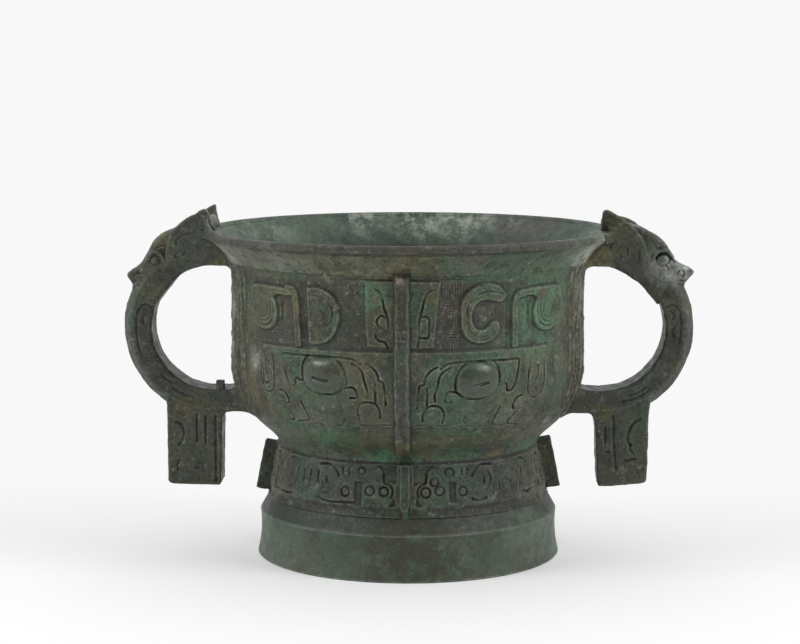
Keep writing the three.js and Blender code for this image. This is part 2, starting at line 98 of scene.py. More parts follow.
def makePatina(name, look):
    material = bpy.data.materials.new(name)
    tree = freshTree(material)
    place = addNode(tree, "ShaderNodeTexCoord").outputs["Object"]
    tall = addNode(tree, "ShaderNodeSeparateXYZ", [place]).outputs["Z"]
    hollow, height = (addNode(tree, "ShaderNodeAttribute", attribute_name=key).outputs["Fac"]
                      for key in ("hollow", "height"))

    def cloud(size, seed, low, high, detail, rough):   # ragged spots of one size
        noise = addNode(tree, "ShaderNodeTexNoise", {
            "Vector": place, "W": seed, "Scale": 1 / (size * mm), "Detail": detail,
            "Roughness": rough}, noise_dimensions="4D").outputs["Fac"]
        return addNode(tree, "ShaderNodeMapRange", [noise, low, high],
                       interpolation_type="SMOOTHSTEP").outputs["Result"]

    def near(centre, radius):   # full in the middle of a place, nothing at its radius
        gap = addNode(tree, "ShaderNodeVectorMath", [place, [c * mm for c in centre]],
                      operation="DISTANCE").outputs["Value"]
        return addNode(tree, "ShaderNodeMapRange", [
            gap, radius * mm, surface["core"] * radius * mm]).outputs["Result"]

    def cover(under, over, *shares):   # one colour over another, by the product of the shares
        amount = shares[0]
        for share in shares[1:]:
            amount = addNode(tree, "ShaderNodeMath", [amount, share], operation="MULTIPLY").outputs[0]
        under, over = (hexColour(c) if isinstance(c, str) else c for c in (under, over))
        return addNode(tree, "ShaderNodeMix", {0: amount, 6: under, 7: over}, data_type="RGBA").outputs[2]

    def blotches(under, kind, places):
        size, seed, *rest = noises[kind]
        for centre, radius, code, share in places:
            under = cover(under, code, near(centre, radius), cloud(size, seed * radius, *rest), share)
        return under

    colour = cover(look["dark"], look["mid"], cloud(look["cloudSize"], *noises["metal"]))
    for key, seed, soft, rough in films:
        begin = look[key + "From"]
        film = cloud(look[key + "Size"], seed, begin, begin + soft, surface["filmDetail"], rough)
        colour = cover(colour, look[key], film, look[key + "Share"])
    if "ground" in look:   # fill in the sunk ground of the relief
        sunk = addNode(tree, "ShaderNodeMapRange", [height, *look["groundSpan"]]).outputs["Result"]
        colour = cover(colour, look["ground"], sunk, cloud(*noises["ground"]), look["groundShare"])
    for low, high, soft, code, share in look.get("bands", ()):
        spans = [(low * mm, (low + soft) * mm), (high * mm, (high - soft) * mm)]
        above, below = (addNode(tree, "ShaderNodeMapRange", [tall, *span]).outputs["Result"]
                        for span in spans)
        colour = cover(colour, code, above, below, share)
    colour = blotches(colour, "patch", look.get("patches", ()))
    for key, kind in spots:
        colour = cover(colour, look[key], cloud(*noises[kind]), look[kind + "Share"])
    # Proud edges take the worn colour, partly wear and partly painted highlight; hollows take the dark
    # recess colour as painted shade
    wearAndGlint, recessShade = (addNode(tree, "ShaderNodeMapRange", [hollow, *surface[key]]).outputs["Result"]
                         for key in ("wornSpan", "filledSpan"))
    colour = cover(colour, look["worn"], wearAndGlint, cloud(*noises["wear"]), look["wornShare"])
    colour = cover(colour, look["recess"], recessShade, look["recessShare"])
    if "inside" in look:
        lining = cover(look["inside"], look["insideDark"], cloud(*noises["lining"]))
        span = [z * mm for z in look["shadeSpan"]]
        deep = addNode(tree, "ShaderNodeMapRange", [tall, *span]).outputs["Result"]
        lining = cover(lining, look["insideDeep"], deep, surface["deepShare"])
        inside = addNode(tree, "ShaderNodeAttribute", attribute_name="inside").outputs["Fac"]
        colour = cover(colour, blotches(lining, "bloom", look["blooms"]), inside)
    grain = cloud(*noises["grain"])
    shade = addNode(tree, "ShaderNodeMapRange", [
        grain, 0.0, 1.0, 1 - look["grain"], 1 + look["grain"]]).outputs["Result"]
    colour = addNode(tree, "ShaderNodeVectorMath", {0: colour, "Scale": shade},
                     operation="SCALE").outputs["Vector"]

    strength = look["bump"]
    rubbed = [near(*spot) for spot in look.get("shine", ())]
    if "polish" in look:   # the eyes stand proud and are rubbed smooth
        proud = addNode(tree, "ShaderNodeMapRange", [height, *look["polishSpan"]]).outputs["Result"]
        colour = cover(colour, look["polish"], proud, surface["polishShare"])
        strength = addNode(tree, "ShaderNodeMath", [
            proud, -surface["polishFlat"] * strength, strength], operation="MULTIPLY_ADD").outputs[0]
        rubbed.append(proud)
    uneven = addNode(tree, "ShaderNodeMath", [
        grain, surface["grainDepth"], cloud(*noises["dent"])], operation="MULTIPLY_ADD").outputs[0]
    bump = addNode(tree, "ShaderNodeBump", {
        "Strength": strength, "Distance": surface["bumpDepth"] * mm, "Height": uneven}).outputs["Normal"]
    gloss = addNode(tree, "ShaderNodeMapRange", [
        cloud(*noises["gloss"]), 0.0, 1.0, *look["rough"]]).outputs["Result"]
    for smooth in rubbed:
        gloss = addNode(tree, "ShaderNodeMath", [
            smooth, -surface["rubbed"], gloss], operation="MULTIPLY_ADD").outputs[0]
    shader = addNode(tree, "ShaderNodeBsdfPrincipled", {
        "Base Color": colour, "Roughness": gloss, "Metallic": look["metal"], "Normal": bump})
    addNode(tree, "ShaderNodeOutputMaterial", {"Surface": shader.outputs["BSDF"]})
    return material


bowlLook = {
    "dark": "#292c21", "mid": "#5c5e4b", "cloudSize": 22.0,
    "green": "#385840", "greenSize": 26.0, "greenFrom": 0.47, "greenShare": 0.66,
    "earth": "#5c5636", "earthSize": 30.0, "earthFrom": 0.52, "earthShare": 0.7,
    "stain": "#1e1f19", "stainShare": 0.5, "crust": "#8b8f80", "crustShare": 0.4,
    "speckShare": 0.3, "pitShare": 0.65, "worn": "#868978", "wornShare": 0.55, "recess": "#1b1b17",
    "recessShare": 0.85, "ground": "#35312b", "groundSpan": (0.75, 0.25), "groundShare": 0.75,
    "grain": 0.42, "polish": "#3f423b", "polishSpan": (1.6, 2.3),
    "rough": (0.4, 0.64), "metal": 0.15, "bump": 0.6,
    "patches": [
        ((-15.0, -90.0, 142.0), 10.0, "#437a58", 0.85),   # malachite on the left plaque
        ((80.0, -52.0, 154.0), 34.0, "#526a50", 0.75),    # green shoulder by the right handle
        ((66.0, -64.0, 130.0), 28.0, "#4b7857", 0.8),    # green on the right hook
        ((40.0, -74.0, 96.0), 40.0, "#3f5540", 0.5),
        ((22.0, -88.0, 128.0), 16.0, "#3a322f", 0.7),    # brown fill in the ground by the right plaque
        ((-40.0, -76.0, 92.0), 20.0, "#465c46", 0.6),
        ((-36.0, -60.0, 66.0), 22.0, "#3b7050", 0.8),    # green under the belly
        ((-84.0, -30.0, 112.0), 44.0, "#4a4934", 0.85),   # earth by the left handle
        ((86.0, -28.0, 120.0), 40.0, "#4f4e3a", 0.85),    # earth by the right handle
        ((90.0, -24.0, 136.0), 15.0, "#84826e", 0.65),    # pale crust under both roots
        ((-90.0, -24.0, 134.0), 12.0, "#7a775f", 0.6),
        ((8.0, -90.0, 124.0), 15.0, "#3a3d34", 0.7),     # darker, greyer plaques
        ((-10.0, -90.0, 120.0), 18.0, "#2f352b", 0.8),
        ((-7.0, -91.0, 134.0), 8.0, "#343a31", 0.8),
        ((-18.0, -88.0, 92.0), 24.0, "#43483d", 0.85),   # grey beside the flange, below
        ((-26.0, -87.0, 130.0), 15.0, "#2b382a", 0.8),   # dark green ground by the left plaque
        ((64.0, -58.0, 84.0), 17.0, "#33332d", 0.85),    # dark crust on the belly by the right handle
        ((78.0, -46.0, 116.0), 9.0, "#34342e", 0.85),
        ((-74.0, -52.0, 106.0), 9.0, "#90948a", 0.8),    # whitish spots by the left strip
        ((-88.0, -22.0, 128.0), 8.0, "#a0a496", 0.8),
        ((-88.0, -20.0, 112.0), 8.0, "#989b8c", 0.8),
    ],
}
bowlPatina = makePatina("bowl patina bronze", bowlLook)   # grey-green skin with malachite and earth

shellLook = dict(
    bowlLook, dark="#3a3d31", mid="#747761", inside="#4a5c48", insideDark="#34433a", insideDeep="#27322b",
    shadeSpan=(160.0, 148.0), wornShare=0.5,
    bands=[(163.5, 168.4, 0.3, "#2c2a27", 0.94), (162.3, 163.8, 0.5, "#232320", 0.6),   # the lip's brown-grey, darker on its top as painted shade, and a painted shadow under the lip
           (56.0, 79.0, 5.0, "#43472f", 0.65)],   # olive under the belly
    patches=bowlLook["patches"] + [
        ((92.0, -36.0, 155.0), 19.0, "#abafa2", 0.95),    # whitish patch by the right handle root
        ((34.0, -92.0, 153.0), 18.0, "#5d5855", 0.8),
        ((4.0, -94.0, 156.0), 19.0, "#5b5234", 0.85),    # ochre over the flange
        ((-34.0, -90.0, 152.0), 16.0, "#54563f", 0.8),
        ((-58.0, -76.0, 154.0), 22.0, "#7d8074", 0.7),
        ((-92.0, -34.0, 154.0), 14.0, "#9a9d90", 0.8),
    ],
    blooms=[
        ((4.0, 98.0, 172.0), 25.0, "#a3a99f", 0.9), ((30.0, 94.0, 171.0), 24.0, "#a3a99f", 0.85),
        ((-28.0, 95.0, 172.0), 22.0, "#9aa096", 0.8), ((52.0, 84.0, 170.0), 17.0, "#8f958b", 0.6),
        ((-84.0, 54.0, 164.0), 32.0, "#7f8c7c", 0.7),    # lighter green to the left
        ((66.0, 66.0, 158.0), 30.0, "#4d4547", 0.95),    # brown to the right
        ((50.0, 80.0, 163.0), 10.0, "#5b5138", 0.8)])
for key in ("ground", "polish"):   # no sunk ground or eyes on the plain wall
    del shellLook[key]
shellPatina = makePatina("bowl wall bronze", shellLook)   # the plain wall, green inside with a pale bloom
shellLook["bands"] = []   # the parts below take the rest of this finish

flangePatina = makePatina("flange patina bronze", dict(
    # The lower, sloping sides of the flange take a lighter grey through the sunk-ground colour: painted
    # highlight
    shellLook, dark="#2b2d26", mid="#484b41", greenShare=0.3, wornShare=0.3, ground="#585b51",
    groundSpan=(2.8, 2.0), groundShare=0.5,
    bands=[(119.0, 158.0, 7.0, "#2b2c25", 0.7), (66.0, 113.0, 8.0, "#393c37", 0.75)], patches=[
        ((-3.0, -94.0, 150.6), 4.5, "#8c8068", 0.95),    # pale crust at the flange's top
        ((0.0, -80.0, 64.0), 14.0, "#57502f", 0.8),
    ]))   # dark bar above, greyer below, pale crust at the top, lighter sloping sides as a painted highlight

footPatina = makePatina("foot patina bronze", dict(
    bowlLook, dark="#262a23", mid="#464c40", green="#364f3f", greenFrom=0.46, earthShare=0.5,
    worn="#666a5e", recess="#141411", ground="#2a2622", groundShare=0.9,
    bands=[(30.0, 36.6, 1.6, "#2f3324", 0.85)], patches=[
        ((7.0, -74.0, 44.0), 12.0, "#544a2c", 0.85),     # ochre crust beside the front tongue
        ((-7.0, -74.0, 42.0), 12.0, "#4f472c", 0.85),
        ((0.0, -76.0, 45.0), 30.0, "#3a5540", 0.6),
        ((68.0, -22.0, 45.0), 26.0, "#5d5738", 0.8),
        ((-68.0, -22.0, 45.0), 26.0, "#5a563a", 0.7),
        ((78.0, -3.0, 44.0), 15.0, "#4b5249", 0.9),      # the side tongues, greyer outwards
        ((-78.0, -3.0, 44.0), 15.0, "#41503f", 0.9),
        ((72.0, -3.0, 46.0), 6.0, "#665c33", 0.85),
    ]))   # darker, with fill in the frieze

mouldingPatina = makePatina("moulding patina bronze", dict(
    shellLook, dark="#2f352b", mid="#4b5243", green="#3c6345", greenFrom=0.45, greenShare=0.6,
    wornShare=0.3, recessShare=0.3, patches=[
        ((-12.0, -68.0, 61.5), 14.0, "#3f6b49", 0.8),
        ((-42.0, -54.0, 61.5), 14.0, "#5c6157", 0.8),
    ]))   # green roll under the bowl

plinthLook = dict(
    shellLook, dark="#363f37", mid="#525f50", cloudSize=30.0, green="#455b48", greenFrom=0.46,
    # A pale worn colour, strong on the edges: partly wear and partly a painted highlight along the ledge's
    # edge
    greenShare=0.6, earth="#4b4836", earthFrom=0.56, earthShare=0.35, stainShare=0.28, worn="#979e91",
    wornShare=0.85, crustShare=0.18, speckShare=0.08, pitShare=0.35, grain=0.2, rough=(0.42, 0.6), bump=0.4,
    # A dark band over the ledge: painted shade
    bands=[(23.7, 31.5, 0.3, "#212b20", 0.9)], patches=[
        ((8.0, -78.0, 8.0), 52.0, "#393829", 0.92),
        # Paler green on the plinth's right side: painted reflection
        ((60.0, -45.0, 27.0), 20.0, "#4e5a49", 0.75),
        ((64.0, -45.0, 14.0), 24.0, "#5b6c59", 0.6),
        ((-50.0, -60.0, 0.0), 22.0, "#47432f", 0.7),
        ((60.0, -50.0, 0.0), 22.0, "#444131", 0.7),
    ])
# Smooth green casting skin, browner at the base, with a painted highlight on the rubbed edge, painted shade
# on the ledge and a painted reflection on the right
plinthPatina = makePatina("plinth patina bronze", plinthLook)

# Olive-dark skin, glossy where it is rubbed
handlePatina = makePatina("handle patina bronze", dict(
    shellLook, dark="#25261f", mid="#484940", greenShare=0.4, earth="#46422f", earthShare=0.6,
    worn="#6c6e63", wornShare=0.42, recess="#151512", rough=(0.36, 0.6), patches=[
        ((103.0, -22.0, 166.0), 24.0, "#47482c", 0.9),   # olive crust on the right horn
        ((133.0, -8.0, 151.0), 15.0, "#8b8e86", 0.9),    # grey, rubbed face of the right head
        # bright patch on the muzzle's facet: partly rubbed metal and partly painted highlight
        ((141.0, -6.0, 146.5), 7.0, "#a6a8a2", 0.9),
        ((-127.0, -8.0, 158.0), 15.0, "#66634a", 0.85),  # earth on the left forehead
        ((-128.0, -8.0, 136.0), 12.0, "#5b5a44", 0.7),
        ((97.0, -10.0, 151.0), 12.0, "#6e6a42", 0.85),   # roots
        ((-97.0, -10.0, 151.0), 9.0, "#6a673f", 0.85),
        ((-106.0, -14.0, 159.0), 19.0, "#42443b", 0.9),   # dark cheek of the left head
        ((-99.0, 4.0, 172.0), 12.0, "#83867a", 0.85),     # pale wall between its horns
        ((101.0, -10.0, 73.0), 8.0, "#55532f", 0.85),    # pendant tops
        ((-103.0, -10.0, 74.0), 8.0, "#55532f", 0.85),
        ((-116.0, -10.0, 75.0), 9.0, "#57552f", 0.85),
        ((100.0, 3.0, 85.0), 14.0, "#1d1e19", 0.95),     # painted shade on the inner side of the straps
        ((118.0, 3.0, 90.0), 14.0, "#1d1e19", 0.95),
        ((-100.0, 3.0, 85.0), 14.0, "#1d1e19", 0.95),
        ((-118.0, 3.0, 90.0), 14.0, "#1d1e19", 0.95),
        ((110.0, -10.0, 54.0), 26.0, "#4b4d3f", 0.6),
        ((-110.0, -10.0, 54.0), 26.0, "#4e4e42", 0.65),
    ], shine=[((129.7, -11.0, 152.8), 6.0), ((141.0, -6.0, 147.0), 6.0)]))

spacerPatina = makePatina("spacer patina bronze", dict(
    shellLook, dark="#2f332b", mid="#454a40", greenShare=0.3, patches=[]))   # darker metal than the floor

clayLook = {
    "dark": "#6b4c38", "mid": "#8a6549", "cloudSize": 12.0, "green": "#7a6a52", "greenSize": 16.0,
    "greenFrom": 0.6, "greenShare": 0.3, "earth": "#59402f", "earthSize": 9.0, "earthFrom": 0.55,
    "earthShare": 0.4, "stain": "#4d3829", "stainShare": 0.3, "crust": "#a08468", "crustShare": 0.3,
    "speckShare": 0.2, "pitShare": 0.3, "worn": "#a08468", "wornShare": 0.0, "recess": "#3d2c20",
    "recessShare": 0.0, "grain": 0.15, "rough": (0.85, 0.95), "metal": 0.0, "bump": 0.8,
}
firedClay = makePatina("fired clay", clayLook)   # dry brown core
print("finishes made")


# Meshes: points in millimetres become an object at the origin

def orient(points, quads, tris):
    def volume(a, b, c):
        return np.einsum("ij,ij->", points[a], np.cross(points[b], points[c]))
    total = 0.0
    if len(quads):
        total += volume(quads[:, 0], quads[:, 1], quads[:, 2])
        total += volume(quads[:, 0], quads[:, 2], quads[:, 3])
    if len(tris):
        total += volume(tris[:, 0], tris[:, 1], tris[:, 2])
    return (quads, tris) if total > 0 else (quads[:, ::-1], tris[:, ::-1])


def store(mesh, name, values):
    kept = mesh.attributes.get(name) or mesh.attributes.new(name, "FLOAT", "POINT")
    kept.data.foreach_set("value", np.asarray(values, np.float32))


def makeObject(name, points, quads, tris, material, hollow=None, height=None, crease=50):
    points = np.asarray(points, float)
    quads = np.asarray(quads, np.int32).reshape(-1, 4)
    tris = np.asarray(tris, np.int32).reshape(-1, 3)
    quads, tris = orient(points, quads, tris)
    mesh = bpy.data.meshes.new(name)
    mesh.vertices.add(len(points))
    mesh.vertices.foreach_set("co", (points * mm).astype(np.float32).ravel())
    mesh.loops.add(quads.size + tris.size)
    mesh.loops.foreach_set("vertex_index", np.concatenate([quads.ravel(), tris.ravel()]))
    mesh.polygons.add(len(quads) + len(tris))
    starts = np.concatenate([4 * np.arange(len(quads)), 4 * len(quads) + 3 * np.arange(len(tris))])
    mesh.polygons.foreach_set("loop_start", starts.astype(np.int32))
    mesh.update(calc_edges=True)
    mesh.shade_smooth()
    mesh.set_sharp_from_angle(angle=math.radians(crease))
    mesh.materials.append(material)
    store(mesh, "hollow", hollowOf(points, quads, tris) if hollow is None else hollow)
    if height is not None:
        store(mesh, "height", height)
    return addObject(name, mesh)


# How far each point lies under the smoothed surface round it, in millimetres
def hollowOf(points, quads, tris, rounds=11):
    edges = np.vstack([quads[:, [0, 1]], quads[:, [1, 2]], quads[:, [2, 3]], quads[:, [3, 0]],
                       tris[:, [0, 1]], tris[:, [1, 2]], tris[:, [2, 0]]])
    a, b = edges[:, 0], edges[:, 1]
    count = len(points)
    degree = np.maximum(np.bincount(a, minlength=count) + np.bincount(b, minlength=count), 1)
    smooth = points.copy()
    for _ in range(rounds):
        total = np.stack([np.bincount(a, smooth[b, k], count) + np.bincount(b, smooth[a, k], count)
                          for k in range(3)], 1)
        smooth = 0.5 * smooth + 0.5 * total / degree[:, None]
    normal = np.zeros_like(points)
    faces = np.vstack([quads[:, :3], quads[:, [0, 2, 3]], tris])
    across = np.cross(points[faces[:, 1]] - points[faces[:, 0]], points[faces[:, 2]] - points[faces[:, 0]])
    for k in range(3):
        for corner in range(3):
            normal[:, k] += np.bincount(faces[:, corner], across[:, k], count)
    normal /= np.maximum(np.linalg.norm(normal, axis=1), 1e-9)[:, None]
    return np.einsum("ij,ij->i", smooth - points, normal)


def dress(thing, node):
    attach(thing, "root")
    if node:
        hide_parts(node)
    return thing


# Curves and fields: a field is a height over a flat stretch, s across and t up

def smoothLine(points, steps=8):
    p = np.asarray(points, float)
    p = np.vstack([2 * p[0] - p[1], p, 2 * p[-1] - p[-2]])
    u = np.linspace(0, 1, steps, endpoint=False)[:, None]
    runs = [0.5 * (2 * b + (c - a) * u + (2 * a - 5 * b + 4 * c - d) * u ** 2
                   + (3 * b - a - 3 * c + d) * u ** 3)
            for a, b, c, d in zip(p[:-3], p[1:-2], p[2:-1], p[3:])]
    return np.vstack(runs + [p[-2:-1]])


def bezier(a, b, c, d, steps):
    u = np.linspace(0, 1, steps)[:, None]
    a, b, c, d = (np.array(x, float) for x in (a, b, c, d))
    return (1 - u) ** 3 * a + 3 * (1 - u) ** 2 * u * b + 3 * (1 - u) * u * u * c + u ** 3 * d


def ease(x):
    x = np.clip(x, 0, 1)
    return x * x * (3 - 2 * x)


def newField(sFrom, sTo, tFrom, tTo, sCells, tCells, level=0.0):
    return {"s": np.linspace(sFrom, sTo, sCells + 1), "t": np.linspace(tFrom, tTo, tCells + 1),
            "h": np.full((sCells + 1, tCells + 1), level)}


def lumps(field, size, seed):
    rng = np.random.default_rng(seed)
    u = (field["s"] - field["s"][0]) / size
    v = (field["t"] - field["t"][0]) / size
    lattice = rng.uniform(-1, 1, (int(u[-1]) + 3, int(v[-1]) + 3))
    i, j = u.astype(int), v.astype(int)
    fu, fv = ease(u - i)[:, None], ease(v - j)[None]
    rows = lattice[i] * (1 - fu) + lattice[i + 1] * fu
    return rows[:, j] * (1 - fv) + rows[:, j + 1] * fv


def lineGap(field, line, reach):
    gap = np.full(field["h"].shape, 2.0 * reach)
    for a, b in zip(line[:-1], line[1:]):
        low, high = np.minimum(a, b) - reach, np.maximum(a, b) + reach
        i = slice(*np.searchsorted(field["s"], (low[0], high[0])))
        j = slice(*np.searchsorted(field["t"], (low[1], high[1])))
        ds, dt = field["s"][i, None] - a[0], field["t"][None, j] - a[1]
        run = b - a
        k = np.clip((ds * run[0] + dt * run[1]) / max(run @ run, 1e-9), 0, 1)
        gap[i, j] = np.minimum(gap[i, j], np.hypot(ds - k * run[0], dt - k * run[1]))
    return gap


def plateGap(field, outline, reach):
    ring = np.vstack([outline, outline[:1]])
    gap = lineGap(field, ring, reach)
    s, t = field["s"][:, None], field["t"][None]
    inside = np.zeros(gap.shape, bool)
    for a, b in zip(ring[:-1], ring[1:]):
        if a[1] != b[1]:
            inside ^= ((a[1] > t) != (b[1] > t)) & (s < a[0] + (t - a[1]) * (b[0] - a[0]) / (b[1] - a[1]))
    return np.where(inside, -gap, gap)


cutLine = {"uneven": 0.9, "size": 4.0, "seed": 61, "least": 0.35, "most": 1.7}   # how its depth varies


def incise(field, points, width=1.2, depth=0.75):
    gap = lineGap(field, smoothLine(points), width)
    uneven = 1 + cutLine["uneven"] * lumps(field, cutLine["size"], cutLine["seed"])
    uneven = np.clip(uneven, cutLine["least"], cutLine["most"])
    field["h"] -= depth * uneven * np.clip(1 - (2 * gap / width) ** 2, 0, 1)


def raiseBand(field, points, width, level):
    gap = lineGap(field, smoothLine(points), width)
    share = ease((width / 2 - gap) / 0.9 + 0.5)
    field["h"] = np.maximum(field["h"], field["h"] * (1 - share) + level * share)


def raisePlate(field, outline, level, slope=1.0, ridge=0.0, swell=0.0):
    gap = plateGap(field, np.asarray(outline, float), 6 * slope)
    share = ease(0.5 - gap / slope)
    pillow = level + swell * (1 - np.exp(np.minimum(gap, 0) / 2.5))
    field["h"] = field["h"] * (1 - share) + pillow * share
    field["h"] += ridge * np.clip(1 - ((gap + 1.0) / 0.9) ** 2, 0, 1)


def smoothRing(points):
    return smoothLine(list(points) + [points[0]], 6)[:-1]


def raiseBoss(field, centre, radii, base, rise):
    u = np.abs((field["s"][:, None] - centre[0]) / radii[0]) ** 2.3
    v = np.abs((field["t"][None] - centre[1]) / radii[1]) ** 2.3
    dome = base + rise * np.clip(1 - u - v, 0, 1) ** 0.7
    field["h"] = np.where(u + v < 1, np.maximum(field["h"], dome), field["h"])


def ringStroke(centre, radius):
    turn = np.linspace(0, 2 * math.pi, 13)
    return np.stack([centre[0] + radius * np.cos(turn), centre[1] + radius * np.sin(turn)], 1)


# Squared spirals side by side in tall cells, the thunder pattern of the ground
def thunder(field, cell, pitch, depth):
    s, t = field["s"][:, None] / cell[0], field["t"][None] / cell[1]
    u, v = (s - np.floor(s) - 0.5) * cell[0], (t - np.floor(t) - 0.5) * cell[1]
    flip = np.where((np.floor(s) + np.floor(t)) % 2 > 0, -1.0, 1.0)
    far = np.maximum(np.abs(u), np.abs(v) - (cell[1] - cell[0]) / 2)
    coil = far / pitch + flip * np.arctan2(v, u) / (2 * math.pi)
    return -depth * (0.5 - 0.5 * np.cos(2 * math.pi * coil))


# Corrosion over a cast surface: shallow swells, sharp pits in patches and a fine grain
crust = {"swell": (0.14, 5.0), "ripple": (0.11, 2.3), "grain": (0.09, 1.5), "fine": (0.7, 0.8),
         "patch": 8.0, "patchFrom": (0.55, 1.4), "pit": (0.32, 0.3)}


def crusted(field, seed, amount=1.0):
    (swell, swellSize), (ripple, rippleSize) = crust["swell"], crust["ripple"]
    swells = swell * lumps(field, swellSize, seed) + ripple * lumps(field, rippleSize, seed + 1)
    (grain, grainSize), (fine, fineSize) = crust["grain"], crust["fine"]
    rough = lumps(field, grainSize, seed + 2) + fine * lumps(field, fineSize, seed + 3)
    begin, slope = crust["patchFrom"]
    patch = ease(begin + slope * lumps(field, crust["patch"], seed + 4))
    pitDepth, pitFrom = crust["pit"]
    pits = pitDepth * np.clip(rough - pitFrom, 0, 1) * patch
    return field["h"] + amount * (swells + grain * rough - pits)


def blurred(h, rounds):
    for _ in range(rounds):
        p = np.pad(h, 1, mode="edge")
        h = (p[1:-1, 1:-1] * 2 + p[:-2, 1:-1] + p[2:, 1:-1] + p[1:-1, :-2] + p[1:-1, 2:]) / 6
    return h


# A field becomes a closed slab: fine front, coarse back, walls between
soften = {"hollow": 11, "level": 5}   # rounds of smoothing that the finish is read from


def makeSlab(name, field, place, back, material, coarse=7):
    h = field["h"]
    s, t = np.meshgrid(field["s"], field["t"], indexing="ij")
    front = place(s, t, h).reshape(-1, 3)
    s, t = s[::coarse, ::coarse], t[::coarse, ::coarse]
    rear = place(s, t, np.full(s.shape, back)).reshape(-1, 3)
    fine = np.arange(h.size).reshape(h.shape)
    wide = h.size + np.arange(s.size).reshape(s.shape)

    def cells(index):
        return np.stack([index[:-1, :-1], index[1:, :-1], index[1:, 1:], index[:-1, 1:]], -1).reshape(-1, 4)
    quads = np.vstack([cells(fine), cells(wide)[:, ::-1]])
    tris = []
    for edge, under in ((fine[:, 0], wide[:, 0]), (fine[-1], wide[-1]),
                        (fine[::-1, -1], wide[::-1, -1]), (fine[0, ::-1], wide[0, ::-1])):
        for k in range(len(under) - 1):
            f = edge[k * coarse:(k + 1) * coarse + 1]
            for i in range(coarse):
                tris.append((f[i + 1], f[i], under[k] if i < coarse // 2 else under[k + 1]))
            tris.append((f[coarse // 2], under[k], under[k + 1]))
    whole = field.get("whole", field)
    relief = whole["h"]
    rows = slice(field.get("from", 0), field.get("from", 0) + h.shape[1])
    hollow = np.concatenate([(blurred(relief, soften["hollow"]) - relief)[:, rows].ravel(),
                             np.zeros(s.size)])
    level = np.maximum(blurred(relief, soften["level"]), whole.get("lift", 0.0))
    height = np.concatenate([level[:, rows].ravel(), np.zeros(s.size)])
    return makeObject(name, np.vstack([front, rear]), quads, tris, material, hollow, height)


# Bowl: a turned shell that carries four cast panels and two plain strips

bowl = {
    "waist": (66.0, 60.4), "underside": (78.6, 70.4), "bellyPull": (90.5, 78.9), "belly": (90.5, 100.4),
    "neck": (90.2, 142.4), "neckPull": (90.2, 153.4), "flarePull": (97.0, 159.4), "lipRoot": (103.4, 163.8),
    "rim": 105.0, "rimTop": 167.9, "mouth": 100.4, "wall": 4.0, "floorTop": 66.0, "floorUnder": 61.7,
    "seat": 58.6, "seatEdge": 63.1, "recess": 3.0, "panelFrom": 20.4, "panelTo": 101.6, "bed": 0.6,
    "bedFade": 2.0, "bedGap": 0.04, "floorFlat": 30.0, "floorRound": (57.0, 64.0), "seatRound": 0.5,
    "lip": [(104.6, 164.2), (105.0, 164.9), (105.0, 166.9), (104.6, 167.6), (103.8, 167.9), (101.8, 167.8),
            (100.9, 167.4), (100.4, 166.6), (100.1, 165.6)],
}
side = np.vstack([
    bezier(bowl["waist"], bowl["underside"], bowl["bellyPull"], bowl["belly"], 90),
    np.linspace(bowl["belly"], bowl["neck"], 60)[1:],
    bezier(bowl["neck"], bowl["neckPull"], bowl["flarePull"], bowl["lipRoot"], 70)[1:],
])
sideStep = np.gradient(side, axis=0)
sideStep /= np.linalg.norm(sideStep, axis=1)[:, None]
sideOut = np.stack([sideStep[:, 1], -sideStep[:, 0]], 1)
sideRun = np.concatenate([[0], np.cumsum(np.linalg.norm(np.diff(side + sideOut, axis=0), axis=1))])
bellyRadius = bowl["belly"][0]


def onBowl(turn, hand=1):
    def place(s, t, h):
        radius = np.interp(t, sideRun, side[:, 0]) + h * np.interp(t, sideRun, sideOut[:, 0])
        z = np.interp(t, sideRun, side[:, 1]) + h * np.interp(t, sideRun, sideOut[:, 1])
        angle = turn + hand * s / bellyRadius
        return np.stack([radius * np.sin(angle), -radius * np.cos(angle), z], -1)
    return place


lathe = {"steps": 256, "noiseScale": 70.0, "noiseDetail": 2.0, "weld": 1e-6}


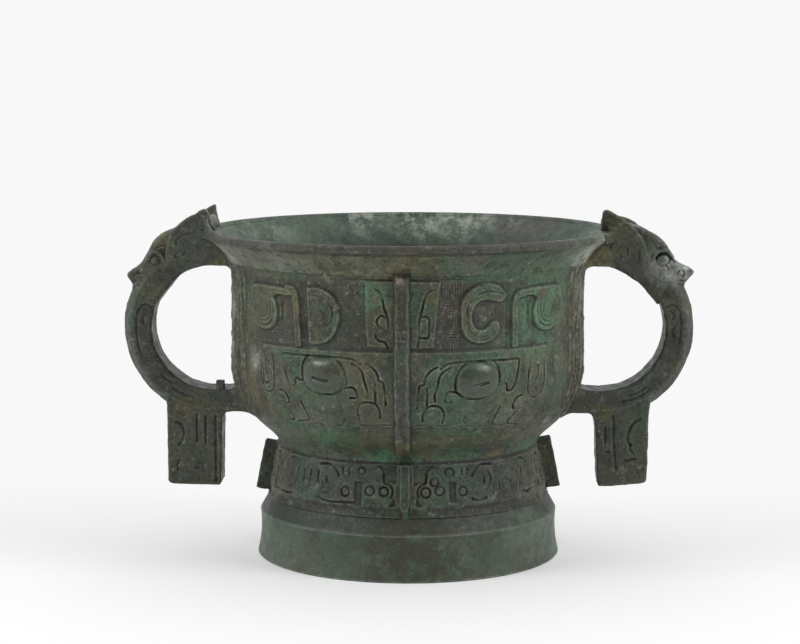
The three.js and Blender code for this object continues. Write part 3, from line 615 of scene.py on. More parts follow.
def turnedTree():
    tree = bpy.data.node_groups.new("turnedShell", "GeometryNodeTree")
    for name, kind in (("Profile", "Geometry"), ("Steps", "Int"), ("Unevenness", "Float"),
                       ("Seed", "Float"), ("Finish", "Material")):
        tree.interface.new_socket(name, in_out="INPUT", socket_type="NodeSocket" + kind)
    tree.interface.new_socket("Shell", in_out="OUTPUT", socket_type="NodeSocketGeometry")
    start = addNode(tree, "NodeGroupInput").outputs
    index = addNode(tree, "GeometryNodeInputIndex").outputs[0]
    count = addNode(tree, "GeometryNodeAttributeDomainSize", {"Geometry": start["Profile"]},
                    component="MESH").outputs["Point Count"]
    columns = addNode(tree, "ShaderNodeMath", [start["Steps"], 1.0], operation="ADD").outputs[0]
    body = addNode(tree, "GeometryNodeMeshGrid",
                   {"Vertices X": columns, "Vertices Y": count}).outputs["Mesh"]
    column = addNode(tree, "ShaderNodeMath", [index, count], operation="DIVIDE").outputs[0]
    column = addNode(tree, "ShaderNodeMath", [column], operation="FLOOR").outputs[0]
    row = addNode(tree, "ShaderNodeMath", [index, count], operation="MODULO").outputs[0]
    share = addNode(tree, "ShaderNodeMath", [column, start["Steps"]], operation="DIVIDE").outputs[0]
    angle = addNode(tree, "ShaderNodeMath", [share, 2 * math.pi], operation="MULTIPLY").outputs[0]
    drawn = addNode(tree, "GeometryNodeInputPosition").outputs[0]
    drawn = addNode(tree, "GeometryNodeSampleIndex", {
        "Geometry": start["Profile"], "Value": drawn, "Index": row},
        data_type="FLOAT_VECTOR").outputs["Value"]
    turned = addNode(tree, "ShaderNodeVectorRotate", {"Vector": drawn, "Angle": angle},
                     rotation_type="Z_AXIS").outputs[0]
    noise = addNode(tree, "ShaderNodeTexNoise", {
        "Vector": turned, "W": start["Seed"], "Scale": lathe["noiseScale"],
        "Detail": lathe["noiseDetail"]}, noise_dimensions="4D").outputs["Fac"]
    worn = addNode(tree, "ShaderNodeMath", [noise, start["Unevenness"]], operation="MULTIPLY").outputs[0]
    keep = addNode(tree, "ShaderNodeMath", [1.0, worn], operation="SUBTRACT").outputs[0]
    squeeze = addNode(tree, "ShaderNodeCombineXYZ", [keep, keep, 1.0]).outputs[0]
    uneven = addNode(tree, "ShaderNodeVectorMath", [turned, squeeze], operation="MULTIPLY").outputs[0]
    body = addNode(tree, "GeometryNodeSetPosition", {"Geometry": body, "Position": uneven}).outputs[0]
    hollow = addNode(tree, "GeometryNodeInputNamedAttribute", {"Name": "hollow"},
                     data_type="FLOAT").outputs["Attribute"]
    hollow = addNode(tree, "GeometryNodeSampleIndex", {
        "Geometry": start["Profile"], "Value": hollow, "Index": row}, data_type="FLOAT").outputs["Value"]
    body = addNode(tree, "GeometryNodeStoreNamedAttribute", {
        "Geometry": body, "Name": "hollow", "Value": hollow}, data_type="FLOAT", domain="POINT").outputs[0]
    body = addNode(tree, "GeometryNodeMergeByDistance",
                   {"Geometry": body, "Distance": lathe["weld"]}).outputs[0]
    body = addNode(tree, "GeometryNodeRealizeInstances", {"Geometry": body}).outputs[0]
    body = addNode(tree, "GeometryNodeSetMaterial",
                   {"Geometry": body, "Material": start["Finish"]}).outputs[0]
    addNode(tree, "NodeGroupOutput", {"Shell": body})
    return tree


def refine(profile, step):
    runs = [np.linspace(a, b, max(math.ceil(np.linalg.norm(b - a) / step), 1), endpoint=False)
            for a, b in zip(profile[:-1], profile[1:])]
    return np.vstack(runs + [profile[-1:]])


# How far each point of a profile lies under the stretch round it, in millimetres
def profileHollow(profile, reach=0.5):
    run = np.concatenate([[0], np.cumsum(np.linalg.norm(np.diff(profile, axis=0), axis=1))])
    offsets = np.clip(run[:, None] + np.linspace(-reach, reach, 9), 0, run[-1])
    mean = np.stack([np.interp(offsets, run, profile[:, k]).mean(1) for k in range(2)], 1)
    step = np.gradient(profile, axis=0)
    out = np.stack([step[:, 1], -step[:, 0]], 1) / np.maximum(np.linalg.norm(step, axis=1), 1e-9)[:, None]
    return np.einsum("ij,ij->i", mean - profile, out)


def bakeTree(name, tree, points, hollow, values):
    source = bpy.data.meshes.new(name + "Line")
    source.from_pydata([tuple(p) for p in points * mm], [(i, i + 1) for i in range(len(points) - 1)], [])
    store(source, "hollow", hollow)
    thing = addObject(name, source)
    modifier = thing.modifiers.new("rule", "NODES")
    modifier.node_group = tree
    for item in tree.interface.items_tree:
        if item.in_out == "INPUT" and item.name in values:
            modifier[item.identifier] = values[item.name]
    mesh = bpy.data.meshes.new_from_object(thing.evaluated_get(bpy.context.evaluated_depsgraph_get()))
    thing.modifiers.remove(modifier)
    thing.data = mesh
    return thing


def read(mesh, name):
    values = np.empty(len(mesh.vertices), np.float32)
    mesh.attributes[name].data.foreach_get("value", values)
    return values


def turnShell(name, profile, material, unevenness, seed, crease, step):
    profile = np.asarray(profile, float)
    closed = profile[0, 0] > 0
    if closed:
        profile = np.vstack([profile, profile[:1]])
    profile = refine(profile, step)
    points = np.stack([profile[:, 0], np.zeros(len(profile)), profile[:, 1]], 1)
    thing = bakeTree(name, shellTree, points, profileHollow(profile), {
        "Steps": lathe["steps"], "Unevenness": unevenness / bellyRadius, "Seed": seed, "Finish": material})
    mesh = thing.data
    mesh.calc_loop_triangles()
    places = np.empty(3 * len(mesh.vertices), np.float32)
    mesh.vertices.foreach_get("co", places)
    places = places.reshape(-1, 3)
    corners = np.empty(3 * len(mesh.loop_triangles), np.int32)
    mesh.loop_triangles.foreach_get("vertices", corners)
    a, b, c = places[corners.reshape(-1, 3).T]
    if np.einsum("ij,ij->", a, np.cross(b, c)) < 0:
        mesh.flip_normals()
    mesh.shade_smooth()
    mesh.set_sharp_from_angle(angle=math.radians(crease))
    return thing, places / mm


shellTree = turnedTree()
inPanel = (sideRun > bowl["panelFrom"]) & (sideRun < bowl["panelTo"])
fade = bowl["bedFade"]
bed = ease((sideRun - bowl["panelFrom"]) / fade) * ease((bowl["panelTo"] - sideRun) / fade)
# Sunk under the panels
bedded = side - sideOut * ((bowl["bed"] * bed + bowl["bedGap"]) * inPanel)[:, None]
inner = side - sideOut * bowl["wall"]
inner = inner[(inner[:, 1] > bowl["floorTop"] + 5) & (inner[:, 0] < bowl["mouth"] - 0.6)]
floorCurve = bezier(*((x, bowl["floorTop"]) for x in bowl["floorRound"]),
                    inner[0] - (inner[8] - inner[0]) * 1.5, inner[0], 12)
waist, flat = bowl["waist"][0], bowl["floorFlat"]
bowlProfile = np.vstack([
    [(0, bowl["floorUnder"]), (flat, bowl["floorUnder"]),
     (bowl["seatEdge"] - bowl["recess"], bowl["floorUnder"]), (bowl["seatEdge"], bowl["seat"]),
     (waist - bowl["seatRound"], bowl["seat"]), (waist, bowl["seat"] + bowl["seatRound"])],
    bedded[:-1:2], bedded[-1:], bowl["lip"], inner[::-2], floorCurve[::-1][1:],
    [(flat, bowl["floorTop"]), (0, bowl["floorTop"])],
])
bowlShell, places = turnShell("bowlShell", bowlProfile, shellPatina,
                              unevenness=0.3, seed=2.0, crease=40, step=2.0)
reach, height = np.hypot(places[:, 0], places[:, 1]), places[:, 2]
lining = (reach < np.interp(height, side[:, 1], side[:, 0]) - 2) & (height > bowl["floorTop"] - 1)
store(bowlShell.data, "inside", lining)
dress(bowlShell, "bowl")
print("bowl shell turned")

# Mask panels: s runs outwards from the middle flange, t up the wall, both along the surface

maskUpper = {
    "right": {
        "plaque": [(1, 99.6), (17.4, 99.2), (17, 94), (16.3, 90), (15.8, 86), (15.5, 80), (14.8, 74),
                   (14, 67.5), (1, 67.5)],
        "plaqueLines": [
            [(14.3, 95.6), (12.3, 94.8), (10.8, 93.3), (9.8, 91), (9.2, 88.5), (8.6, 86), (7.8, 83),
             (7.2, 80.5), (7, 77), (7.2, 73.5), (6.8, 70.5), (6.4, 68)],
            [(8.4, 82.4), (10.2, 82.6), (11.8, 81.4), (11.9, 77), (11.9, 74), (11.4, 72.5), (9.5, 72.2),
             (7.4, 72.6)],
        ],
        "horn": [(52, 91.6), (47, 96.6), (41, 97.9), (36, 97.2), (31.4, 94.6), (28.4, 91), (27.2, 86.4),
                 (27.4, 80), (28, 75.4), (30.4, 71.4), (35, 69.2), (40.4, 69.2), (45, 71.4), (47.6, 75.4),
                 (46.6, 79), (43.6, 79.6), (41.2, 77.2), (37.6, 75.6), (34.4, 77), (33, 80.4), (33.4, 85),
                 (35.8, 88.4), (39.8, 89.8), (44.6, 89), (48.6, 88.6)],
        "hornLines": [[(49, 92.6), (44, 93.8), (38.4, 93.6), (33.6, 91.2), (30.6, 86.4), (30.4, 80),
                       (31.8, 75.4), (35.6, 72.4), (40.4, 72.6)]],
        "gap": [(52.4, 67), (52.6, 78), (52.7, 90.6)],
        "frame": [(56.6, 66.8), (56.6, 78), (56.7, 87), (58.4, 91.2), (62, 92)],
        "lines": (17.6, 28), "lineShare": 0.55,
    },
    "left": {
        "plaque": [(1, 99.8), (18.8, 99.5), (18.6, 92), (18.4, 84), (18.2, 76), (17.6, 68), (1, 67.5)],
        "plaqueLines": [
            [(13.8, 95.8), (12, 95), (11, 93.5), (10.4, 91.5), (9.8, 88.5), (9.3, 86), (8.2, 83.5),
             (7.5, 80.5), (7.4, 77), (8, 75.5)],
            [(8.6, 82.2), (11, 83), (13, 80.5), (12, 78), (9.4, 76.4)],
            [(13.5, 73.5), (13, 71.8), (11.5, 70.9), (9, 70.3), (8.2, 69), (7.6, 67.5)],
        ],
        "horn": [(49.4, 95.2), (44, 95.6), (39.4, 94.6), (35.6, 92.4), (33, 89), (31.6, 84.6), (31.8, 79.6),
                 (33.4, 74.8), (36.4, 70.6), (41, 68.4), (47.6, 68.2), (48.2, 74), (48.8, 84)],
        "hornLines": [[(46, 91.6), (41, 91), (37, 88.6), (35, 84.6), (35.4, 80), (37.6, 77.2),
                       (40.8, 76.6)],
                      [(41.2, 84.4), (39.4, 82.6), (39.6, 80.4), (41.4, 79.2)]],
        "gap": [(50.2, 67.6), (51.2, 78), (52.4, 94)],
        "frame": [(54.4, 67.2), (55.2, 78), (56, 88), (57.2, 92.6), (61, 94)],
        "lines": (88.4, 94.6), "lineShare": 0.3,
    },
}
# Top bar, outer arm and a hanging tongue that curls back, with nested grooves and a crescent beside it
maskHook = {
    "plate": [(57.4, 90.6), (59.4, 93.4), (66, 94.4), (78, 94.8), (86.4, 94.4), (89.4, 92), (89.8, 86),
              (89.2, 80), (87.2, 76), (83.6, 73.6), (78.6, 72.6), (73.8, 73.2), (70.2, 75.4), (68.2, 79.2),
              (67.8, 83.4), (68.8, 86.8), (70.4, 89.2), (67, 90.6), (62, 90.4)],
    "nested": (2.4, 4.4, 6.4),
    "crescent": [(70.4, 90.2), (67, 89), (65.2, 86), (64.8, 82), (65.4, 78)],
}
maskFace = {
    "eyeCentre": (36.2, 51.0), "eyeRadii": (11.0, 8.9),
    "lines": [
        [(17.4, 57.4), (21, 59.6), (25, 60.2), (30, 60.4), (36, 60.5), (44, 60.4), (52, 60.2), (58.6, 60.2),
         (58.9, 57.5), (58.2, 53.5), (57.3, 50), (56, 47), (54.5, 45.3), (52.3, 45)],
        [(44.6, 60), (46.8, 57), (47.6, 53), (47, 49), (45, 46), (41.5, 43.5), (37, 42.3), (32, 42.3),
         (29, 43), (26, 45.2), (24.8, 47), (24.6, 50.5), (25.5, 54), (27.6, 57.6), (30, 59.6)],
        [(25.5, 45.6), (22, 46.2), (20.2, 44.8), (19.5, 42.5), (20, 41), (23, 40.9)],
        [(16, 58.2), (14, 57.4), (12, 55.8), (10.5, 53.8), (9.8, 52), (9.5, 50), (7.5, 49), (6.8, 46),
         (6.3, 42), (6.3, 38)],
        [(22, 57.8), (19, 56), (17, 53.5), (16.3, 50.5), (15.5, 47.5), (14.6, 44.5), (14.8, 41.5)],
        [(11, 48), (11, 44), (11, 39)],
        [(47, 48.4), (48.5, 48), (50.2, 49), (51.6, 48.2), (52, 45.5)],
        [(66.2, 58.5), (65.6, 55), (65.2, 51), (64.8, 47), (65.2, 43.5), (67, 41), (70, 40), (72.6, 41),
         (74.8, 44), (76, 49), (76.2, 57)],
        [(71.5, 56), (71.8, 53), (71, 50), (69.8, 49.2)],
        [(74, 51), (73.6, 48), (72.6, 45), (70.8, 44.2), (69, 45.4)],
        [(49, 37), (47.8, 33.5), (46.8, 30), (46.5, 28.5), (47.5, 26.8), (49, 26.2), (54, 25.5)],
        [(61.6, 42), (58.6, 41.2), (57, 39), (56.5, 36.5), (57.5, 35.3)],
        [(59.3, 33.5), (57, 30), (56.3, 28.5), (57, 26), (60, 25.4), (63, 25)],
        [(9, 31), (9.2, 35), (11, 38), (14, 39.2), (17.5, 38.3), (19.3, 36), (19.7, 33), (19.3, 29.5)],
    ],
    "pupil": [(33, 49.0), (36, 49.4), (40, 50.2)],
    "folds": [[(5, 28), (12, 28.6), (20, 27.6), (28, 29.4)], [(6, 25.6), (14, 26.2), (24, 25)],
              [(30, 31), (33, 27), (40, 26)]],
    "bossCentre": (86.6, 55.0), "bossRadii": (3.2, 5.0), "bossBase": 0.3, "bossRise": 1.1,
    "registerLine": [(3.4, 66.3), (40, 66.6), (80, 66.1)], "topLine": [(3.4, 100), (20, 100.2), (38, 99.6)],
}
# Scale and shift of s and of t
maskFit = {"right": ((1.0, 0.0), (1.0, 0.0)), "left": ((1.05, 2.2), (1.0, 1.8))}
maskLevels = {"ground": 0.2, "lineDepth": 0.45, "plaque": 1.0, "scroll": 1.2, "swell": 0.6, "face": 0.95,
              "eye": 3.0, "register": 66.2, "frame": 1.35}
maskCuts = {   # width and depth of the cut lines
    "nested": (0.9, 0.4), "crescent": (3.2, 0.75), "gap": (3.4, 0.5), "horn": (1.0, 0.4),
    "plaque": (1.4, 0.65), "face": (1.4, 0.75), "pupil": (1.7, 0.9), "fold": (1.3, 0.35),
    "register": (1.0, 0.25), "top": (0.9, 0.25),
}
maskField = {"from": 1.6, "to": 97.0, "columns": 315, "rows": 273, "split": 154, "back": -1.2,
             "thunderCell": (9.2, 14.6), "thunderPitch": 1.15, "frameWidth": 3.6}
maskFades = {   # where each part of the relief sets in or ends, and over what length
    "groundFoot": (65, 2), "groundTop": (101.6, 5), "groundSide": (96, 3), "lines": 1.2,
    "faceFoot": (21.0, 9), "faceTop": (66.0, 1.4), "cheek": (80, 3), "cheekShare": 0.35,
    "faceSide": (95, 4), "edge": 0.8, "sideEdge": 1.5, "bareTop": (96.8, 2.4), "bareSide": (84, 5),
    "bareFoot": (31, 3),
}


def starts(x, at, run):
    return ease((x - at) / run)


def ends(x, at, run):
    return ease((at - x) / run)


def nestedGroove(k):
    return [(68.6 + k, 88.4 - 0.3 * k), (68 + k, 82.5), (70 + 0.8 * k, 76 + 0.7 * k),
            (74.2 + 0.4 * k, 73 + k), (78.8, 72.6 + k), (83.4 - 0.5 * k, 74.2 + 0.8 * k),
            (86.4 - 0.9 * k, 78 + 0.3 * k), (87.6 - k, 84)]


def makeMask(hand):
    field = newField(maskField["from"], maskField["to"], bowl["panelFrom"], bowl["panelTo"],
                     maskField["columns"], maskField["rows"])
    s, t = field["s"][:, None], field["t"][None]
    upper, level, fade = maskUpper[hand], maskLevels, maskFades
    low, high = upper["lines"]
    within = starts(s, low, fade["lines"]) * ends(s, high, fade["lines"])
    shown = np.maximum(upper["lineShare"] * ease(0.5 + 1.6 * lumps(field, 9.0, 21)), within + 0 * t)
    spirals = thunder(field, maskField["thunderCell"], maskField["thunderPitch"], level["lineDepth"])
    ground = level["ground"] + shown * spirals
    ground = ground * starts(t, *fade["groundFoot"]) * ends(t, *fade["groundTop"])
    field["h"] = ground * ends(s, *fade["groundSide"]) + 0 * s
    raisePlate(field, upper["plaque"], level["plaque"])
    raisePlate(field, smoothRing(upper["horn"]), level["scroll"], 1.1, 0.2, level["swell"])
    raisePlate(field, smoothRing(maskHook["plate"]), level["scroll"], 1.1, 0.25, level["swell"])
    raiseBand(field, upper["frame"], maskField["frameWidth"], level["frame"])
    for inset in maskHook["nested"]:
        incise(field, nestedGroove(inset), *maskCuts["nested"])
    incise(field, maskHook["crescent"], *maskCuts["crescent"])
    incise(field, upper["gap"], *maskCuts["gap"])
    for kind in ("horn", "plaque"):
        for line in upper[kind + "Lines"]:
            incise(field, line, *maskCuts[kind])
    face = starts(t, *fade["faceFoot"]) * ends(t, *fade["faceTop"])
    cheek = fade["cheekShare"] + (1 - fade["cheekShare"]) * ends(s, *fade["cheek"])
    face = face * cheek * ends(s, *fade["faceSide"])
    field["h"] = np.where(t < level["register"], level["face"] * face, field["h"])
    fitS, fitT = maskFit[hand]

    def fit(points):
        return [(p * fitS[0] + fitS[1], q * fitT[0] + fitT[1]) for p, q in points]
    eye, (wide, tall) = fit([maskFace["eyeCentre"]])[0], maskFace["eyeRadii"]
    raiseBoss(field, eye, (wide, tall), level["face"], level["eye"])
    for line in maskFace["lines"]:
        incise(field, fit(line), *maskCuts["face"])
    incise(field, fit(maskFace["pupil"]), *maskCuts["pupil"])
    raiseBoss(field, maskFace["bossCentre"], maskFace["bossRadii"], maskFace["bossBase"],
              maskFace["bossRise"])
    incise(field, maskFace["registerLine"], *maskCuts["register"])
    incise(field, maskFace["topLine"], *maskCuts["top"])
    for line in maskFace["folds"]:
        incise(field, line, *maskCuts["fold"])
    # The eye stays smooth
    bare = 1 - 0.8 * ease(2.2 - 2 * np.hypot((s - eye[0]) / wide, (t - eye[1]) / tall))
    edge = starts(t, bowl["panelFrom"], fade["edge"]) * ends(t, bowl["panelTo"], fade["edge"])
    edge = edge * ends(s, maskField["to"], fade["sideEdge"])
    field["h"] = blurred(crusted(field, 3, bare), 1) * edge
    lift = starts(t, *fade["bareTop"]) + starts(s, *fade["bareSide"]) + ends(t, *fade["bareFoot"])
    field["lift"] = lift   # bare metal round the mask
    return field


def rowsOf(field, first, last):
    rows = slice(first, last + 1)
    return {"s": field["s"], "t": field["t"][rows], "h": field["h"][:, rows], "whole": field, "from": first}


quarters = {   # drawing, turn and mirroring of each quarter
    "frontRight": ("right", 0.0, 1), "frontLeft": ("left", 0.0, -1),
    "backRight": ("left", math.pi, -1), "backLeft": ("right", math.pi, 1),
}
fields = {hand: makeMask(hand) for hand in maskUpper}
split = maskField["split"]
for name, (hand, turn, mirror) in quarters.items():
    for part, first, last in (("MaskFace", 0, split), ("MaskScrolls", split, maskField["rows"])):
        rows = rowsOf(fields[hand], first, last)
        panel = makeSlab(name + part, rows, onBowl(turn, mirror), maskField["back"], bowlPatina)
        dress(panel, None)

strips = {"half": 45.2, "columns": 182, "rows": 161, "edge": 2.0, "foldSize": 2.6, "foldStretch": 7,
          "foldDepth": 0.55, "crust": 2.3, "back": -1.2,
          "sides": (("rightPlainStrip", math.pi / 2, 11, -0.25),
                    ("leftPlainStrip", -math.pi / 2, 12, 0.45))}
for name, turn, seed, level in strips["sides"]:
    half, edge = strips["half"], strips["edge"]
    strip = newField(-half, half, bowl["panelFrom"], bowl["panelTo"], strips["columns"], strips["rows"])
    s, t = strip["s"][:, None], strip["t"][None]
    rim = ease((t - bowl["panelFrom"]) / edge) * ease((bowl["panelTo"] - t) / edge)
    rim = rim * ease((half - np.abs(s)) / edge)
    # Folds run up the wall, like runs of metal
    long = {"s": strip["s"], "t": strip["t"] / strips["foldStretch"]}
    folds = lumps(long, strips["foldSize"], seed + 7)
    strip["h"] = (level + strips["foldDepth"] * folds + crusted(strip, seed, strips["crust"])) * rim
    dress(makeSlab(name, strip, onBowl(turn), strips["back"], bowlPatina), None)
print("mask panels cast")

# Body flanges: low bars up the front and the back, with a small square frame across

flange = {
    "width": 8.3, "level": 3.2, "from": 3.0, "to": 103.2, "frame": (70.6, 76.0), "aside": -1.0,
    "back": -0.4, "columns": 21, "rows": 259, "edgeFrom": 2.7, "edgeRun": 1.6, "edgeDrop": 1.7,
    "inset": (78, 95), "insetHalf": 2.3, "insetDepth": 0.15, "frameRise": 0.35, "frameHalf": 2.9,
    "frameBar": 0.9, "lines": (-2.8, 2.8), "lineSpan": (18, 45, 69), "tip": 0.25, "tipFrom": 4,
    "tipRun": 10, "cap": 3.58,
}


def onFlange(turn):
    c, d = math.cos(turn), math.sin(turn)

    def place(s, t, h):
        radius = np.interp(t, sideRun, side[:, 0]) + h * np.interp(t, sideRun, sideOut[:, 0])
        z = np.interp(t, sideRun, side[:, 1]) + h * np.interp(t, sideRun, sideOut[:, 1])
        across = s + flange["aside"]
        return np.stack([across * c + radius * d, across * d - radius * c, z], -1)
    return place


def makeFlangeField():
    half = flange["width"] / 2
    field = newField(-half, half, flange["from"], flange["to"], flange["columns"], flange["rows"],
                     flange["level"])
    s, t = field["s"][:, None], field["t"][None]
    edge = np.abs(s) + 0.45 * lumps(field, 4.5, 33) + 0.2 * lumps(field, 1.8, 34)
    field["h"] = field["h"] - flange["edgeDrop"] * ease((edge - flange["edgeFrom"]) / flange["edgeRun"])
    low, high = flange["inset"]
    inset = ease((flange["insetHalf"] - np.abs(s)) / 0.6) * ease(t - low) * ease(high - t)
    field["h"] -= flange["insetDepth"] * inset
    low, high = flange["frame"]
    middle, tall = (low + high) / 2, (high - low) / 2
    framed = ease((np.maximum(np.abs(t - middle) - tall, 0) * -1 + 0.4) / 0.4)
    sunk = ease((flange["frameHalf"] - np.abs(s)) / 0.6)
    sunk = sunk * ease((tall - flange["frameBar"] - np.abs(t - middle)) / 0.5)
    field["h"] += flange["frameRise"] * framed - flange["frameRise"] * sunk
    for x in flange["lines"]:
        incise(field, [(x, z) for z in flange["lineSpan"]], 0.8, 0.2)
    tip = flange["tip"]
    field["h"] *= tip + (1 - tip) * ease((t - flange["tipFrom"]) / flange["tipRun"])
    field["h"] += 0.18 * lumps(field, 4.0, 31) + 0.12 * lumps(field, 1.4, 32)
    field["h"] = np.minimum(field["h"], flange["cap"])
    return field


for name, turn in (("front", 0.0), ("back", math.pi)):
    bar = makeSlab(name + "BodyFlange", makeFlangeField(), onFlange(turn), flange["back"], flangePatina)
    dress(bar, name + "_body_flange")
print("body flanges cast")

# Foot: plinth ring, then the ring that carries the frieze

plinth = {"base": 78.2, "ledge": 76.7, "ledgeFoot": 23.4, "ledgeTop": 31.0, "inset": 4.6, "waist": 2.1,
          "wall": 4.6}
pull = ((plinth["base"] + plinth["ledge"]) / 2 - plinth["waist"], plinth["ledgeFoot"] / 2)
u = np.linspace(0, 1, 20)[:, None]
wallCurve = ((1 - u) ** 2 * np.array((plinth["base"], 0.7)) + 2 * (1 - u) * u * np.array(pull)
             + u * u * np.array((plinth["ledge"], plinth["ledgeFoot"] - 0.5)))
ledgeInner = plinth["ledge"] - plinth["inset"]
plinthProfile = np.vstack([
    [(plinth["base"] - 0.7, 0)], wallCurve, [(plinth["ledge"] - 0.3, plinth["ledgeFoot"])],
    [(ledgeInner, plinth["ledgeTop"]), (ledgeInner - plinth["wall"], plinth["ledgeTop"])],
    [(ledgeInner - 1.2, plinth["ledgeFoot"] - 1.4)], (wallCurve - (plinth["wall"], 0))[::-1][1:-1],
    [(plinth["base"] - plinth["wall"], 0)],
])
plinthShell, places = turnShell("plinthShell", plinthProfile, plinthPatina,
                                unevenness=0.35, seed=5.0, crease=30, step=1.0)
covered = places[:, 2] > plinth["ledgeTop"] - 3   # under the foot ring: no worn edges with painted highlight, no painted shade in hollows
store(plinthShell.data, "hollow", np.where(covered, 0.0, read(plinthShell.data, "hollow")))
dress(plinthShell, "plinth_ring")

foot = {"bottom": (71.8, 31.3), "top": (67.3, 58.3), "wall": 4.2, "around": 70.0, "bed": 0.6,
        "mouldingEnd": 72.4}
footRun = np.array(foot["top"]) - np.array(foot["bottom"])
footLength = float(np.linalg.norm(footRun))
footStep = footRun / footLength
footOut = np.array((footStep[1], -footStep[0]))
bottom, top = np.array(foot["bottom"]), np.array(foot["top"])
under = side[:90]   # the bowl below its belly
end = foot["mouldingEnd"]
mouldingEnd = (end, float(np.interp(end, under[:, 0], under[:, 1])) + 0.1)
moulding = bezier((67.2, 58.0), (67.0, 60.2), (68.8, 62.2), mouldingEnd, 12)   # soft junction with the bowl
footProfile = np.vstack([
    [bottom - (0.1, 0.4), bottom + 0.8 * footStep - foot["bed"] * footOut,
     top - 0.8 * footStep - foot["bed"] * footOut],
    moulding, [(66.5, 61.4), top - (foot["wall"], 0), bottom - (foot["wall"], 0.4)]])
footShell, _ = turnShell("footShell", footProfile, mouldingPatina,
                         unevenness=0.1, seed=8.0, crease=30, step=1.0)
dress(footShell, "foot_ring")


def onFoot(turn, hand=1):
    def place(s, t, h):
        radius = bottom[0] + t * footStep[0] + h * footOut[0]
        z = bottom[1] + t * footStep[1] + h * footOut[1]
        angle = turn + hand * s / foot["around"]
        return np.stack([radius * np.sin(angle), -radius * np.cos(angle), z + 0 * angle], -1)
    return place


frieze = {
    "right": {
        "sunk": [[(4, 16), (4, 25.6), (15, 25.6), (12.4, 24), (10.6, 21.5), (10, 17)],
                 [(22, 7), (22, 17), (25.4, 17), (25.4, 7)],
                 [(5, 5.4), (5.5, 9.5), (8.6, 5.4)]],
        "lines": [
            [(16, 25), (13, 24), (11, 22), (10.5, 19), (10, 17), (7.5, 15.8), (6, 13), (6.4, 10)],
            [(29, 23.5), (28.8, 20.5)], [(32, 23), (31, 19.5)],
            [(34.5, 19), (36, 21.5), (38.5, 23.8), (41, 24.6), (46.5, 24.3)],
            [(44, 21), (45.5, 18), (45, 14.5), (43.8, 12.5), (41.5, 11)], [(41.5, 19), (41.3, 15)],
            [(51, 15), (51, 11)], [(13.5, 8.3), (15, 9)], [(46.8, 14), (46.8, 9)],
            [(34, 8), (38, 7), (42, 8)],
        ],
        "rings": [((14.5, 17.3), 2.0), ((17, 13), 2.2), ((22.3, 21.8), 2.1), ((29, 12.2), 2.2),
                  ((10, 12.3), 2.4)],
        "end": ((55, 13.3), 2.5),
    },
    "left": {
        "sunk": [[(4, 17), (4, 25.6), (14.5, 25.6), (12.2, 24.4), (10.6, 21.5), (9.6, 17.6)],
                 [(21.5, 5), (21.5, 17), (25.5, 17), (25.5, 5)], [(4.5, 5.4), (5, 9.5), (8, 5.4)]],
        "lines": [
            [(15.5, 25), (12.5, 24.3), (11, 22), (10.5, 19), (10, 17), (8, 16.3), (6.2, 15), (6, 12),
             (6.5, 10)],
            [(28.8, 24), (28.8, 20), (30.5, 19.2), (32.3, 19.8), (32.6, 23.5)],
            [(34.5, 19), (36, 21.5), (38, 23.2), (41, 24.4), (46.5, 24)],
            [(47.5, 20), (47.2, 16), (46, 13), (44, 10.5), (41, 9.8)], [(42, 18), (41.5, 15)],
            [(26, 6.5), (40, 6), (46, 7.5)], [(52.5, 20), (52.5, 15)],
        ],
        "rings": [((10.3, 12.8), 2.2), ((17.5, 12.8), 2.2), ((30.3, 11.7), 2.3), ((22, 22.5), 1.8)],
        "end": ((55, 13.3), 2.5),
    },
}
friezeField = {"from": 2.4, "to": 107.4, "columns": 266, "rows": 70, "back": -1.2, "band": 0.7,
               "bandFrom": 3.4, "bandTo": 26.6, "foot": 0.9, "footRise": 2.6, "sunk": -0.15,
               "line": (1.25, 0.7), "ring": (1.1, 0.7), "topLine": [(2.4, 26.2), (55, 26.2), (107.4, 26.2)],
               "topCut": (0.9, 0.15), "seed": 41}


def makeFrieze(hand):
    own, drawn = friezeField, frieze[hand]
    field = newField(own["from"], own["to"], 0.0, footLength, own["columns"], own["rows"])
    s, t = field["s"][:, None], field["t"][None]
    quarter = foot["around"] * math.pi / 2
    band = own["band"] * ease((t - own["bandFrom"]) / 2.2) * ease((own["bandTo"] - t) / 0.8)
    field["h"] = band + own["foot"] * np.clip(1 - t / own["footRise"], 0, 1) ** 2 + 0 * s

    def both(points):
        return [points, [(quarter - p, q) for p, q in points]]
    for outline in drawn["sunk"]:
        for shape in both(outline):
            raisePlate(field, shape, own["sunk"], 0.8)
    for line in drawn["lines"]:
        for run in both(line):
            incise(field, run, *own["line"])
    for centre, radius in drawn["rings"]:
        for point in both([centre]):
            incise(field, ringStroke(point[0], radius), *own["ring"])
    incise(field, ringStroke(*drawn["end"]), *own["ring"])
    incise(field, own["topLine"], *own["topCut"])
    field["h"] = blurred(crusted(field, own["seed"]), 1)
    return field


friezes = {hand: makeFrieze(hand) for hand in frieze}
for name, (hand, turn, mirror) in quarters.items():
    slab = makeSlab(name + "Frieze", friezes[hand], onFoot(turn, mirror), friezeField["back"], footPatina)
    dress(slab, None)
print("foot ring and frieze cast")


# Solids given by distance: a grid of distances to the surface, meshed at zero

def solidGrid(low, high, cell):
    axes = [np.arange(a - 3 * cell, b + 4 * cell, cell, dtype=np.float32) for a, b in zip(low, high)]
    return {"cell": cell, "low": np.array([a[0] for a in axes]), "x": axes[0][:, None, None],
            "y": axes[1][None, :, None], "z": axes[2][None, None, :]}


def segmentGap(x, z, a, b):
    ex, ez = b[0] - a[0], b[1] - a[1]
    k = np.clip(((x - a[0]) * ex + (z - a[1]) * ez) / max(ex * ex + ez * ez, 1e-9), 0, 1)
    return (x - a[0] - k * ex) ** 2 + (z - a[1] - k * ez) ** 2   # squared


